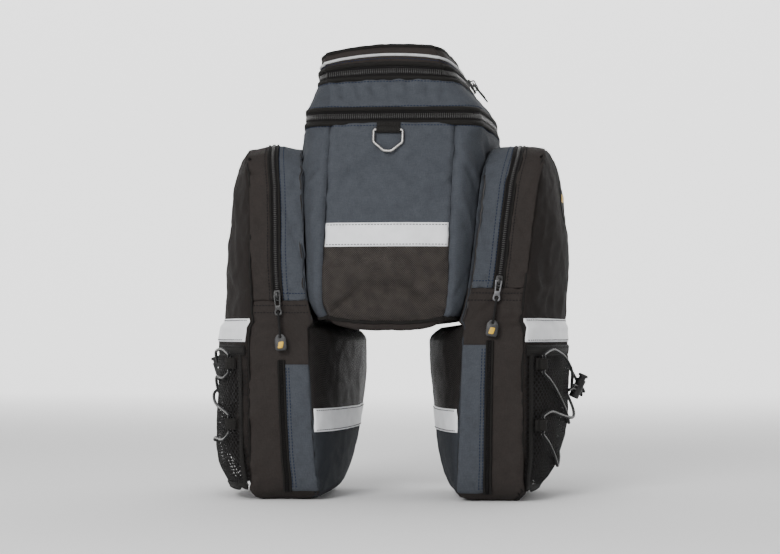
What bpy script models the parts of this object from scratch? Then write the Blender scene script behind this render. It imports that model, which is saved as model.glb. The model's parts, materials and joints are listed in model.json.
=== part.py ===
"""Bicycle trunk bag: a tapered centre bag with two side panniers sewn to it.

It stands on the panniers' bottoms.

Metres. X is across the bicycle, Y runs forward from the face with the ring, Z is up.
The origin is on the ground under the middle of the bag's bounding box.
"""

import math
from collections import namedtuple

import bmesh
import bpy
from mathutils import Matrix, Vector

# Pannier
PANNIER_HEIGHT = 0.378
PANNIER_LENGTH = 0.306
GUSSET_WIDTH = 0.064
INNER_EDGE = 0.084
OUTER_BELLY = 0.046
INNER_BELLY = 0.044
TOP_CORNER = 0.045
BOTTOM_REAR_CORNER = 0.026
BOTTOM_FRONT_CORNER = 0.040
ZIP_END_HEIGHT = 0.213
ZIP_INNER = 0.45
ZIP_OUTER = 0.61
LEFT_FLAP_HEIGHT = 0.145
RIGHT_FLAP_HEIGHT = 0.166
FLAP_SHARE = 0.41
FLAP_ZIP_SHARE = 0.50

# Trunk
TRUNK_BASE_HEIGHT = 0.190
TRUNK_LENGTH = 0.344
TRUNK_WIDTH = 0.216
FACE_WIDTH = 0.132
FACE_CROWN = 0.006
LID_ARCH = 0.012
LID_DOME = 0.002
BASE_SAG = 0.003
CORNER_POWER = 2.4
MAIN_ZIP_HEIGHT = 0.399
MAIN_ZIP_WIDTH = 0.015
COLLAR_HEIGHT = 0.032
LID_ZIP_HEIGHT = MAIN_ZIP_HEIGHT + MAIN_ZIP_WIDTH + COLLAR_HEIGHT
LID_ZIP_WIDTH = 0.012
LID_SIDE = 0.019
TRUNK_HEIGHT = LID_ZIP_HEIGHT + LID_ZIP_WIDTH + LID_SIDE - TRUNK_BASE_HEIGHT
PIPING_RISE = 0.0040
PIPING_WIDTH = 0.0035

# Sheets, tapes and seams
WALL = 0.0012
BASE_WALL = 0.003
TAPE = 0.001
REFLECTIVE_WIDTH = 0.025
FRONT_TAPE_FOOT = 0.269
OUTER_TAPE_FOOT = 0.169
INNER_TAPE_FOOT = 0.073
SEAM_GAP = 0.0003
LIFT = 0.0004
SIDE_CLEARANCE = 0.0018

# Net pocket, its loops and its elastic cord
NET_FOOT = 0.012
NET_TOP = 0.162
NET_SHEET = 0.0012
NET_SAG = 0.007
LOOP_WIDTH = 0.012
LOOP_LENGTH = 0.015
LOOP_WALL = 0.0013
CORD_DIAMETER = 0.0034
CORD_CLEARANCE = 0.0008

# Cord lock
LOCK_RADIUS = 0.0056
LOCK_LENGTH = 0.0220
LOCK_WALL = 0.0012
BUTTON_HEAD = 0.0030
BUTTON_TRAVEL = 0.0030
RUNNING_CLEARANCE = 0.0004

# Ring and its webbing tab
RING_WIRE = 0.0030
RING_WIDTH = 0.0335
RING_LEG = 0.0130
RING_DROP = 0.0225
RING_FLAT = 0.0075
RING_OFFSET = -0.003
RING_BELOW_ZIP = 0.0085
TAB_WIDTH = 0.0250
TAB_WALL = 0.0014
TAB_DROP = 0.0085

# Zip slider, its puller, and the cord loop with the moulded tab
SLIDER_WIDTH = 0.0080
SLIDER_LENGTH = 0.0120
SLIDER_DEPTH = 0.0026
BRIDGE_WIDTH = 0.0022
BRIDGE_RISE = 0.0054
BRIDGE_WIRE = 0.0013
BRIDGE_PLAY = 0.00165
PULLER_LENGTH = 0.0215
PULLER_WIDTH = 0.0080
PULLER_THICKNESS = 0.0014
EYE_RADIUS = 0.0022
PULL_CORD = 0.0018
PULL_CORD_LENGTH = 0.0265
LEFT_PULL_HEIGHT = 0.218
RIGHT_PULL_HEIGHT = 0.233
LID_PULLS = (0.30, 0.42)
LID_PULL_TILT = 14
MOULDED_WIDTH = 0.0125
MOULDED_LENGTH = 0.0175
MOULDED_DEPTH = 0.0024
LINK_CLEARANCE = 0.0003

Section = namedtuple("Section", "height tuck gusset outer inner rear front")
# height is a share of PANNIER_HEIGHT, tuck of INNER_EDGE, gusset of GUSSET_WIDTH,
# outer of OUTER_BELLY, inner of INNER_BELLY, rear and front of half PANNIER_LENGTH
LEFT_SECTIONS = (
    Section(0.000, 1.080, 0.70, 0.20, 0.03, -0.88, 0.13),
    Section(0.012, 0.970, 0.94, 0.52, 0.15, -0.93, 0.20),
    Section(0.036, 0.925, 1.09, 0.80, 0.30, -0.96, 0.29),
    Section(0.110, 0.940, 1.09, 0.98, 0.56, -0.98, 0.52),
    Section(0.190, 0.955, 1.06, 1.02, 0.74, -0.99, 0.73),
    Section(0.290, 0.965, 1.03, 1.05, 0.88, -1.00, 0.91),
    Section(0.400, 0.980, 1.01, 1.10, 0.99, -1.00, 0.99),
    Section(0.450, 0.985, 1.00, 1.12, 1.00, -1.00, 1.00),
    Section(0.484, 0.992, 0.98, 1.12, 0.74, -1.00, 1.00),
    Section(0.500, 1.000, 1.02, 1.12, 0.03, -1.00, 1.00),
    Section(0.541, 1.000, 0.98, 1.11, 0.00, -1.00, 1.00),
    Section(0.600, 1.000, 0.92, 1.08, 0.00, -0.99, 1.00),
    Section(0.750, 1.000, 0.91, 0.94, 0.00, -0.97, 0.98),
    Section(0.880, 1.000, 0.92, 0.76, 0.00, -0.95, 0.96),
    Section(0.960, 1.000, 0.90, 0.58, 0.00, -0.93, 0.94),
    Section(1.000, 1.000, 0.86, 0.42, 0.00, -0.92, 0.93),
)
RIGHT_SECTIONS = (
    Section(0.000, 1.050, 0.62, 0.04, 0.03, -0.88, 0.13),
    Section(0.012, 0.890, 0.94, 0.16, 0.15, -0.93, 0.20),
    Section(0.036, 0.850, 1.09, 0.30, 0.30, -0.96, 0.29),
    Section(0.110, 0.870, 1.09, 0.62, 0.56, -0.98, 0.52),
    Section(0.190, 0.900, 1.06, 0.76, 0.74, -0.99, 0.73),
    Section(0.290, 0.930, 1.03, 0.88, 0.88, -1.00, 0.91),
    Section(0.400, 0.960, 1.01, 0.95, 0.99, -1.00, 0.99),
    Section(0.450, 0.970, 1.00, 0.98, 1.00, -1.00, 1.00),
    Section(0.484, 0.985, 0.98, 0.98, 0.74, -1.00, 1.00),
    Section(0.500, 1.000, 1.02, 0.98, 0.03, -1.00, 1.00),
    Section(0.541, 1.000, 0.98, 0.97, 0.00, -1.00, 1.00),
    Section(0.600, 1.000, 0.94, 0.96, 0.00, -0.99, 1.00),
    Section(0.750, 1.000, 0.94, 0.84, 0.00, -0.97, 0.98),
    Section(0.880, 1.000, 0.96, 0.54, 0.00, -0.95, 0.96),
    Section(0.960, 1.000, 0.96, 0.30, 0.00, -0.93, 0.94),
    Section(1.000, 1.000, 0.92, 0.14, 0.00, -0.92, 0.93),
)

TrunkSection = namedtuple("TrunkSection", "height face belly rear front")
# height is a share of TRUNK_HEIGHT, face of half FACE_WIDTH, belly of half TRUNK_WIDTH,
# rear and front of half TRUNK_LENGTH
TRUNK_SECTIONS = (
    TrunkSection(0.000, 1.00, 0.80, -0.95, 0.90),
    TrunkSection(0.050, 1.01, 0.84, -0.99, 0.94),
    TrunkSection(0.120, 1.01, 0.89, -1.01, 0.96),
    TrunkSection(0.250, 1.01, 0.93, -1.02, 0.97),
    TrunkSection(0.400, 1.00, 0.96, -1.02, 0.97),
    TrunkSection(0.570, 1.00, 0.99, -1.01, 0.96),
    TrunkSection(0.720, 1.00, 1.00, -0.99, 0.95),
    TrunkSection(0.785, 0.99, 0.98, -0.96, 0.93),
    TrunkSection(0.840, 0.97, 0.90, -0.90, 0.89),
    TrunkSection(0.895, 0.95, 0.80, -0.85, 0.84),
    TrunkSection(0.930, 0.95, 0.775, -0.83, 0.83),
    TrunkSection(0.970, 0.94, 0.745, -0.81, 0.81),
    TrunkSection(1.000, 0.88, 0.690, -0.77, 0.77),
)
TRUNK_LINES = (0.03, 0.09, 0.2, 0.35, 0.5, 0.65, 0.8, 0.91, 0.97)
PANNIER_LINES = (0.05, 0.147, 0.33, 0.5, 0.67, 0.853, 0.95)
SHARED_LEVELS = (0.2045, 0.2275, 0.280, 0.333, 0.358)

Sway = namedtuple("Sway", "height shift")
# These put the origin under the middle of the bounding box
CENTRE_X = 0.0073
CENTRE_Y = 0.0061

# The standing bag sways across: height is a share of the full height, shift of SWAY_RANGE
SWAY_RANGE = 0.010
SWAYS = (
    Sway(0.00, 0.10),
    Sway(0.12, -0.15),
    Sway(0.33, -0.40),
    Sway(0.41, -0.35),
    Sway(0.50, -0.25),
    Sway(0.69, 0.16),
    Sway(0.81, 0.45),
    Sway(0.86, 0.30),
    Sway(0.92, -0.30),
    Sway(1.00, -0.90),
)
FULL_HEIGHT = TRUNK_BASE_HEIGHT + TRUNK_HEIGHT + LID_ARCH

Lacing = namedtuple("Lacing", "along height lift")
# The elastic cord's route over the net, span by span from the lock: along is a share of
# PANNIER_LENGTH, height and lift are in metres, lift is from the net's face to the cord's middle
LEFT_LACING = (
    (
        Lacing(0.480, 0.146, 0.0060),
        Lacing(0.360, 0.156, 0.0050),
        Lacing(0.220, 0.160, 0.0045),
        Lacing(0.120, 0.161, 0.0050),
    ),
    (
        Lacing(0.120, 0.130, 0.0036),
        Lacing(0.260, 0.130, 0.0032),
        Lacing(0.480, 0.112, 0.0032),
        Lacing(0.620, 0.101, 0.0032),
        Lacing(0.750, 0.094, 0.0032),
        Lacing(0.880, 0.094, 0.0040),
    ),
    (
        Lacing(0.880, 0.064, 0.0036),
        Lacing(0.700, 0.059, 0.0028),
        Lacing(0.450, 0.058, 0.0028),
        Lacing(0.250, 0.063, 0.0028),
        Lacing(0.120, 0.063, 0.0036),
    ),
    (
        Lacing(0.120, 0.096, 0.0040),
        Lacing(0.250, 0.100, 0.0030),
        Lacing(0.370, 0.107, 0.0052),
        Lacing(0.490, 0.113, 0.0074),
        Lacing(0.610, 0.118, 0.0052),
        Lacing(0.750, 0.125, 0.0030),
        Lacing(0.880, 0.129, 0.0040),
    ),
    (
        Lacing(0.880, 0.161, 0.0050),
        Lacing(0.790, 0.158, 0.0050),
        Lacing(0.700, 0.146, 0.0080),
    ),
)
RIGHT_LACING = (
    (
        Lacing(0.330, 0.137, 0.0080),
        Lacing(0.250, 0.152, 0.0060),
        Lacing(0.170, 0.159, 0.0050),
        Lacing(0.115, 0.161, 0.0050),
    ),
    (
        Lacing(0.110, 0.128, 0.0036),
        Lacing(0.180, 0.115, 0.0028),
        Lacing(0.300, 0.096, 0.0028),
        Lacing(0.460, 0.081, 0.0032),
        Lacing(0.600, 0.080, 0.0032),
        Lacing(0.740, 0.084, 0.0032),
        Lacing(0.880, 0.094, 0.0040),
    ),
    (
        Lacing(0.880, 0.060, 0.0036),
        Lacing(0.700, 0.046, 0.0028),
        Lacing(0.450, 0.036, 0.0028),
        Lacing(0.230, 0.046, 0.0028),
        Lacing(0.120, 0.061, 0.0036),
    ),
    (
        Lacing(0.120, 0.095, 0.0040),
        Lacing(0.220, 0.091, 0.0030),
        Lacing(0.360, 0.087, 0.0080),
        Lacing(0.500, 0.092, 0.0074),
        Lacing(0.640, 0.104, 0.0044),
        Lacing(0.760, 0.117, 0.0030),
        Lacing(0.880, 0.128, 0.0040),
    ),
    (
        Lacing(0.880, 0.161, 0.0050),
        Lacing(0.780, 0.156, 0.0040),
        Lacing(0.660, 0.140, 0.0050),
        Lacing(0.560, 0.124, 0.0110),
    ),
)
REAR_LOOP = 0.055
FRONT_LOOP = 0.945
LOOP_HEIGHTS = (0.146, 0.081)
LockPlace = namedtuple("LockPlace", "along height lean turn")
# The lock hangs on the net: lean and turn are in degrees
LOCK_PLACES = {-1: LockPlace(0.590, 0.136, 14, 30), 1: LockPlace(0.440, 0.118, 20, 30)}
LOCK_STAND = 0.0105


def table_value(rows, column, height):
    """The column's value at a height, on a smooth curve through the rows that never overshoots."""
    xs = [row.height for row in rows]
    ys = [getattr(row, column) for row in rows]
    if height <= xs[0]:
        return ys[0]
    if height >= xs[-1]:
        return ys[-1]
    steps = [b - a for a, b in zip(xs, xs[1:])]
    slopes = [(b - a) / step for a, b, step in zip(ys, ys[1:], steps)]
    tangents = [slopes[0]]
    for left, right in zip(slopes, slopes[1:]):
        tangents.append(2 * left * right / (left + right) if left * right > 0 else 0.0)
    tangents.append(slopes[-1])
    i = max(k for k, x in enumerate(xs[:-1]) if x <= height)
    t = (height - xs[i]) / steps[i]
    rise = (2 * t**3 - 3 * t**2 + 1) * ys[i] + (3 * t**2 - 2 * t**3) * ys[i + 1]
    bend = (t**3 - 2 * t**2 + t) * tangents[i] + (t**3 - t**2) * tangents[i + 1]
    return rise + steps[i] * bend


def sway(z):
    return CENTRE_X + SWAY_RANGE * table_value(SWAYS, "shift", z / FULL_HEIGHT)


def bow(share):
    """The trunk's side in plan, from 0 at its seams to 1 at its belly."""
    offset = min(1.0, abs(2 * share - 1))
    return (1 - offset**CORNER_POWER) ** (1 / CORNER_POWER)


def trunk_size(column, z):
    whole = {"face": FACE_WIDTH, "belly": TRUNK_WIDTH}.get(column, TRUNK_LENGTH)
    return table_value(TRUNK_SECTIONS, column, (z - TRUNK_BASE_HEIGHT) / TRUNK_HEIGHT) * whole / 2


def trunk_half_width(y, z):
    rear, front = trunk_size("rear", z), trunk_size("front", z)
    share = min(1.0, max(0.0, (y - rear) / (front - rear)))
    face = trunk_size("face", z)
    return face + (trunk_size("belly", z) - face) * bow(share)


def trunk_point(a, b, c):
    """a runs across, b forward and c up, each from 0 to 1 over the trunk's box."""
    z = TRUNK_BASE_HEIGHT + c * TRUNK_HEIGHT
    rear, front = trunk_size("rear", z), trunk_size("front", z)
    y = rear + (front - rear) * b
    across = 2 * a - 1
    x = across * trunk_half_width(y, z)
    middle = 1 - across**2
    y -= FACE_CROWN * middle * (1 - 2 * b) * min(1.0, 4 * c, 4 * (1 - c))
    rise = max(0.0, z - LID_ZIP_HEIGHT - LID_ZIP_WIDTH)
    span = TRUNK_BASE_HEIGHT + TRUNK_HEIGHT - LID_ZIP_HEIGHT - LID_ZIP_WIDTH
    z += LID_ARCH * middle * min(1.0, 1.6 * rise / span)
    along = 1 - (2 * b - 1) ** 2
    if c == 1:
        z += LID_DOME * along * middle
    if c == 0:
        z -= BASE_SAG * along * middle
    return Vector((x + sway(z), y + CENTRE_Y, z))


def pannier_size(side, column, z):
    whole = {
        "tuck": INNER_EDGE,
        "gusset": GUSSET_WIDTH,
        "outer": OUTER_BELLY,
        "inner": INNER_BELLY,
    }.get(column, PANNIER_LENGTH / 2)
    rows = LEFT_SECTIONS if side < 0 else RIGHT_SECTIONS
    return table_value(rows, column, z / PANNIER_HEIGHT) * whole


def round_corners(b, c):
    """Moves a point of the side view's unit square so that its four corners are arcs."""
    u, v = b * PANNIER_LENGTH, c * PANNIER_HEIGHT
    for at_front, at_top, radius in (
        (False, True, TOP_CORNER),
        (True, True, TOP_CORNER),
        (False, False, BOTTOM_REAR_CORNER),
        (True, False, BOTTOM_FRONT_CORNER),
    ):
        centre_u = PANNIER_LENGTH - radius if at_front else radius
        centre_v = PANNIER_HEIGHT - radius if at_top else radius
        du = (u - centre_u) * (1 if at_front else -1)
        dv = (v - centre_v) * (1 if at_top else -1)
        if du > 0 and dv > 0:
            scale = max(du, dv) / math.hypot(du, dv)
            u = centre_u + du * scale * (1 if at_front else -1)
            v = centre_v + dv * scale * (1 if at_top else -1)
    return u / PANNIER_LENGTH, v / PANNIER_HEIGHT


def pillow(b):
    """How far a pannier's big panel stands out along its length, from 0 at its seams to 1."""
    return max(0.0, 1 - (2 * b - 1) ** 2) ** 0.7


def pannier_point(side, a, b, c):
    """side is -1 or 1. a runs outward, b forward and c up, each from 0 to 1."""
    b, c = round_corners(b, c)
    z = c * PANNIER_HEIGHT
    rear, front = pannier_size(side, "rear", z), pannier_size(side, "front", z)
    y = rear + (front - rear) * b
    shoulder = 2 * BASE_SAG
    blend = min(1.0, max(0.0, (z - TRUNK_BASE_HEIGHT + shoulder) / shoulder))
    trunk_z = max(z, TRUNK_BASE_HEIGHT)
    tuck = pannier_size(side, "tuck", z)
    hug = tuck + (trunk_half_width(y, trunk_z) + SIDE_CLEARANCE - tuck) * blend
    seam = tuck + (trunk_half_width(rear, trunk_z) + SIDE_CLEARANCE - tuck) * blend
    inner = hug - pannier_size(side, "inner", z) * pillow(b)
    outer = seam + pannier_size(side, "gusset", z) + pannier_size(side, "outer", z) * pillow(b)
    return Vector((side * (inner + (outer - inner) * a) + sway(z), y + CENTRE_Y, z))


def net_lift(b, c):
    """How far the net pocket stands off the outer panel."""
    z = c * PANNIER_HEIGHT
    share = min(1.0, max(0.0, (z - NET_FOOT) / (NET_TOP - NET_FOOT)))
    return LIFT + NET_SAG * pillow(b) * math.sin(math.pi * share**0.75) ** 0.8


def outer_face(side, along, height, lift):
    """A point off the outer panel, lifted from the net pocket's face, with the outward direction there."""
    c = height / PANNIER_HEIGHT
    step = 0.004
    point = pannier_point(side, 1, along, c)
    forward = pannier_point(side, 1, along + step, c) - pannier_point(side, 1, along - step, c)
    upward = pannier_point(side, 1, along, c + step) - pannier_point(side, 1, along, c - step)
    out = forward.cross(upward).normalized()
    if out.x * side < 0:
        out = -out
    within = NET_FOOT < height < NET_TOP
    stand = net_lift(along, c) + NET_SHEET if within else LIFT
    return point + out * (stand + lift), out


def cut_box(across, along, up, side_cuts=()):
    """A unit box cut along lines. side_cuts holds (axis, place, cut axis, line) for one side only."""
    bm = bmesh.new()
    bmesh.ops.create_cube(bm, size=1.0, matrix=Matrix.Translation((0.5, 0.5, 0.5)))
    cuts = [(0, None, 0, v) for v in across] + [(0, None, 1, v) for v in along]
    cuts += [(0, None, 2, v) for v in up] + list(side_cuts)
    for side_axis, place, axis, line in cuts:
        faces = bm.faces[:]
        if place is not None:
            faces = [f for f in faces if all(abs(v.co[side_axis] - place) < 1e-6 for v in f.verts)]
        edges = {e for f in faces for e in f.edges}
        verts = {v for f in faces for v in f.verts}
        normal = [0.0, 0.0, 0.0]
        normal[axis] = 1.0
        bmesh.ops.bisect_plane(
            bm,
            geom=list(verts) + list(edges) + faces,
            dist=1e-7,
            plane_co=[line if k == axis else 0.0 for k in range(3)],
            plane_no=normal,
        )
    return bm


def shaped(bm, point):
    """Maps a cut box to its real shape. Each vertex keeps its unit place and its outward direction."""
    place = bm.verts.layers.float_vector.new("place")
    outward = bm.verts.layers.float_vector.new("outward")
    for v in bm.verts:
        v[place] = v.co.copy()
        v.co = point(*v.co)
    bm.normal_update()
    if bm.calc_volume(signed=True) < 0:
        bmesh.ops.reverse_faces(bm, faces=bm.faces[:])
        bm.normal_update()
    for v in bm.verts:
        v[outward] = v.normal * min(1.2, v.calc_shell_factor())
    return bm


def face_place(face, layer):
    return sum((v[layer] for v in face.verts), Vector()) / len(face.verts)


def sheet(name, box, wanted, wall, colour, collection, lift=0.0):
    """One sewn sheet: the wanted faces of the shaped box, with a wall.

    A wall below 0 goes inward. lift raises the sheet off the surface: a length, or a function
    of a vertex's unit place.
    """
    bm = box.copy()
    place = bm.verts.layers.float_vector["place"]
    outward = bm.verts.layers.float_vector["outward"]
    unwanted = [f for f in bm.faces if not wanted(*face_place(f, place))]
    bmesh.ops.delete(bm, geom=unwanted, context="FACES")
    moves = []
    for v in bm.verts:
        if v.is_boundary:
            middles = [f.calc_center_median() for f in v.link_faces]
            pull = sum(middles, Vector()) / len(middles) - v.co
            out = v[outward].normalized()
            moves.append((v, (pull - out * pull.dot(out)).normalized() * SEAM_GAP))
    for v, move in moves:
        v.co += move
    for v in bm.verts:
        v.co += v[outward] * (lift(*v[place]) if callable(lift) else lift)
    made = bmesh.ops.extrude_face_region(bm, geom=bm.faces[:], use_keep_orig=True)
    for v in made["geom"]:
        if isinstance(v, bmesh.types.BMVert):
            v.co += v[outward] * wall
    bmesh.ops.recalc_face_normals(bm, faces=bm.faces[:])
    return add_mesh(name, bm, colour, collection)


Finish = namedtuple("Finish", "colour roughness metallic")
FINISHES = {
    "slate_cloth": Finish((0.083, 0.095, 0.110), 0.75, 0.0),
    "black_cloth": Finish((0.038, 0.034, 0.032), 0.80, 0.0),
    "ripstop": Finish((0.050, 0.045, 0.042), 0.65, 0.0),
    "zip_tape": Finish((0.020, 0.019, 0.018), 0.70, 0.0),
    "reflective": Finish((0.75, 0.76, 0.77), 0.45, 0.0),
    "net": Finish((0.012, 0.011, 0.011), 0.85, 0.0),
    "webbing": Finish((0.025, 0.024, 0.021), 0.80, 0.0),
    "cord": Finish((0.06, 0.06, 0.06), 0.70, 0.0),
    "plastic": Finish((0.020, 0.019, 0.019), 0.45, 0.0),
    "steel": Finish((0.62, 0.60, 0.57), 0.35, 1.0),
    "puller": Finish((0.35, 0.35, 0.35), 0.45, 0.6),
    "rubber": Finish((0.045, 0.045, 0.045), 0.60, 0.0),
}


def finish(name):
    material = bpy.data.materials.get(name)
    if material:
        return material
    material = bpy.data.materials.new(name)
    material.use_nodes = True
    shader = material.node_tree.nodes["Principled BSDF"]
    values = FINISHES[name]
    shader.inputs["Base Color"].default_value = (*values.colour, 1.0)
    shader.inputs["Roughness"].default_value = values.roughness
    shader.inputs["Metallic"].default_value = values.metallic
    return material


def add_mesh(name, bm, colour, collection, frame=None):
    mesh = bpy.data.meshes.new(name)
    bm.to_mesh(mesh)
    bm.free()
    mesh.materials.append(finish(colour))
    mesh.shade_flat()
    obj = bpy.data.objects.new(name, mesh)
    if frame:
        obj.matrix_world = frame
    collection.objects.link(obj)
    return obj


def frame_at(origin, out, up):
    """A frame whose Z is up along the surface and whose Y points into it."""
    out = out.normalized()
    up = (up - out * up.dot(out)).normalized()
    frame = Matrix.Identity(4)
    for column, axis in enumerate((up.cross(out), -out, up, origin)):
        for row in range(3):
            frame[row][column] = axis[row]
    return frame


def smooth_path(points, steps):
    """A smooth curve through the points."""
    path = []
    padded = [2 * points[0] - points[1]] + points + [2 * points[-1] - points[-2]]
    for p, q, r, s in zip(padded, padded[1:], padded[2:], padded[3:]):
        for k in range(steps):
            t = k / steps
            path.append(
                q
                + (r - p) * (t / 2)
                + (2 * p - 5 * q + 4 * r - s) * (t * t / 2)
                + (3 * q - p - 3 * r + s) * (t**3 / 2)
            )
    return path + [points[-1]]


def add_cord(name, points, diameter, colour, collection, frame=None, closed=False, rounding=2):
    curve = bpy.data.curves.new(name, "CURVE")
    curve.dimensions = "3D"
    curve.bevel_depth = diameter / 2
    curve.bevel_resolution = rounding
    curve.use_fill_caps = not closed
    spline = curve.splines.new("POLY")
    spline.points.add(len(points) - 1)
    for point, place in zip(spline.points, points):
        point.co = (*place, 1.0)
    spline.use_cyclic_u = closed
    curve.materials.append(finish(colour))
    obj = bpy.data.objects.new(name, curve)
    if frame:
        obj.matrix_world = frame
    collection.objects.link(obj)
    return obj


def add_plate(name, outlines, depth, colour, collection, frame):
    """A flat plate in the frame's XZ plane, with an outline and any holes, centred on the plane."""
    bm = bmesh.new()
    for outline in outlines:
        verts = [bm.verts.new((x, -depth / 2, z)) for x, z in outline]
        for v, following in zip(verts, verts[1:] + verts[:1]):
            bm.edges.new((v, following))
    bmesh.ops.triangle_fill(bm, use_beauty=True, edges=bm.edges[:])
    made = bmesh.ops.extrude_face_region(bm, geom=bm.faces[:], use_keep_orig=True)
    moved = [v for v in made["geom"] if isinstance(v, bmesh.types.BMVert)]
    bmesh.ops.translate(bm, verts=moved, vec=(0, depth, 0))
    bmesh.ops.recalc_face_normals(bm, faces=bm.faces[:])
    return add_mesh(name, bm, colour, collection, frame)


def circle(x, z, radius, count=12, start=0.0):
    turns = [start + math.tau * k / count for k in range(count)]
    return [(x + radius * math.cos(t), z + radius * math.sin(t)) for t in turns]


def make_trunk(bag):
    def level(z):
        return (z - TRUNK_BASE_HEIGHT) / TRUNK_HEIGHT

    zip_low, zip_high = level(MAIN_ZIP_HEIGHT), level(MAIN_ZIP_HEIGHT + MAIN_ZIP_WIDTH)
    lid_low, lid_high = level(LID_ZIP_HEIGHT), level(LID_ZIP_HEIGHT + LID_ZIP_WIDTH)
    tape_low, tape_high = level(FRONT_TAPE_FOOT), level(FRONT_TAPE_FOOT + REFLECTIVE_WIDTH)
    tape_middle = (tape_low + tape_high) / 2
    piping_low = lid_high + PIPING_RISE / TRUNK_HEIGHT
    piping_high = piping_low + PIPING_WIDTH / TRUNK_HEIGHT
    levels = [zip_low, zip_high, (zip_high + lid_low) / 2, lid_low, lid_high, piping_low, piping_high]
    levels += [level(z) for z in SHARED_LEVELS]
    face_cuts = [(1, 0.0, 2, line) for line in (tape_low, tape_middle, tape_high)]
    box = shaped(cut_box((0.25, 0.5, 0.75), TRUNK_LINES, sorted(levels), face_cuts), trunk_point)

    def front(b):
        return b == 0

    sheet("trunk_face_lower", box, lambda a, b, c: front(b) and c < tape_middle, -WALL, "ripstop", bag)
    sheet(
        "trunk_face_upper",
        box,
        lambda a, b, c: front(b) and tape_middle < c < zip_low,
        -WALL,
        "slate_cloth",
        bag,
    )
    sheet("trunk_wrap", box, lambda a, b, c: b > 0 and 0 < c < zip_low, -WALL, "slate_cloth", bag)
    sheet("trunk_base", box, lambda a, b, c: c == 0, -BASE_WALL, "black_cloth", bag)
    sheet("trunk_zip", box, lambda a, b, c: zip_low < c < zip_high, -WALL, "zip_tape", bag)
    sheet("trunk_collar", box, lambda a, b, c: zip_high < c < lid_low, -WALL, "slate_cloth", bag)
    sheet("lid_zip", box, lambda a, b, c: lid_low < c < lid_high, -WALL, "zip_tape", bag)
    sheet("lid", box, lambda a, b, c: c > lid_high, -WALL, "black_cloth", bag)
    sheet(
        "lid_piping",
        box,
        lambda a, b, c: piping_low < c < piping_high,
        TAPE,
        "reflective",
        bag,
        LIFT,
    )
    sheet(
        "front_tape",
        box,
        lambda a, b, c: front(b) and tape_low < c < tape_high,
        TAPE,
        "reflective",
        bag,
        LIFT,
    )
    box.free()


def make_pannier(side, name, bag):
    def level(z):
        return z / PANNIER_HEIGHT

    zip_end = level(ZIP_END_HEIGHT)
    flap = level(LEFT_FLAP_HEIGHT if side < 0 else RIGHT_FLAP_HEIGHT)
    tape_low, tape_high = level(OUTER_TAPE_FOOT), level(OUTER_TAPE_FOOT + REFLECTIVE_WIDTH)
    inner_low, inner_high = level(INNER_TAPE_FOOT), level(INNER_TAPE_FOOT + REFLECTIVE_WIDTH)
    inner_middle = (inner_low + inner_high) / 2
    net_low, net_high = level(NET_FOOT), level(NET_TOP)
    levels = [0.012, 0.036, 0.11, 0.484, 0.5, level(TRUNK_BASE_HEIGHT + 0.0005), zip_end]
    levels += [level(z) for z in SHARED_LEVELS] + [flap, inner_low, inner_high, 0.45]
    side_cuts = [(0, 0.0, 2, inner_middle), (0, 1.0, 2, tape_low), (0, 1.0, 2, tape_high)]
    side_cuts += [(0, 1.0, 2, net_high), (0, 1.0, 2, net_low)]
    across = (FLAP_SHARE, ZIP_INNER, FLAP_ZIP_SHARE, ZIP_OUTER)
    box = cut_box(across, PANNIER_LINES, sorted(levels), side_cuts)
    box = shaped(box, lambda a, b, c: pannier_point(side, a, b, c))

    def rim(a, b, c):
        return 0 < a < 1 and (b in (0, 1) or c == 1)

    def upper_rim(a, b, c):
        return rim(a, b, c) and c > zip_end

    def part(label, wanted, wall, colour, lift=0.0):
        return sheet(f"{name}_{label}", box, wanted, wall, colour, bag, lift)

    part("inner_upper", lambda a, b, c: a == 0 and c > inner_middle, -WALL, "ripstop")
    part("inner_lower", lambda a, b, c: a == 0 and c < inner_middle, -WALL, "slate_cloth")
    part("inner_tape", lambda a, b, c: a == 0 and inner_low < c < inner_high, TAPE, "reflective", LIFT)
    part("outer_panel", lambda a, b, c: a == 1, -WALL, "black_cloth")
    part("outer_tape", lambda a, b, c: a == 1 and tape_low < c < tape_high, TAPE, "reflective", LIFT)
    part("inner_band", lambda a, b, c: upper_rim(a, b, c) and a < ZIP_INNER, -WALL, "slate_cloth")
    part("zip", lambda a, b, c: upper_rim(a, b, c) and ZIP_INNER < a < ZIP_OUTER, -WALL, "zip_tape")
    part("outer_band", lambda a, b, c: upper_rim(a, b, c) and a > ZIP_OUTER, -WALL, "black_cloth")
    part("lower_gusset", lambda a, b, c: 0 < a < 1 and c < zip_end, -WALL, "black_cloth")
    part(
        "side_flap",
        lambda a, b, c: b == 0 and a < FLAP_SHARE and c < flap,
        TAPE,
        "slate_cloth",
        LIFT,
    )
    part(
        "net_pocket",
        lambda a, b, c: a == 1 and net_low < c < net_high,
        NET_SHEET,
        "net",
        lambda a, b, c: net_lift(b, c),
    )
    box.free()


def surface_frame(point_at, u, v):
    """A frame on a surface given by a function of two shares, with Z up along it."""
    step = 0.01
    origin = point_at(u, v)
    along = point_at(u + step, v) - point_at(u - step, v)
    up = point_at(u, v + step) - point_at(u, v - step)
    out = along.cross(up).normalized()
    return origin, out, up


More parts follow.
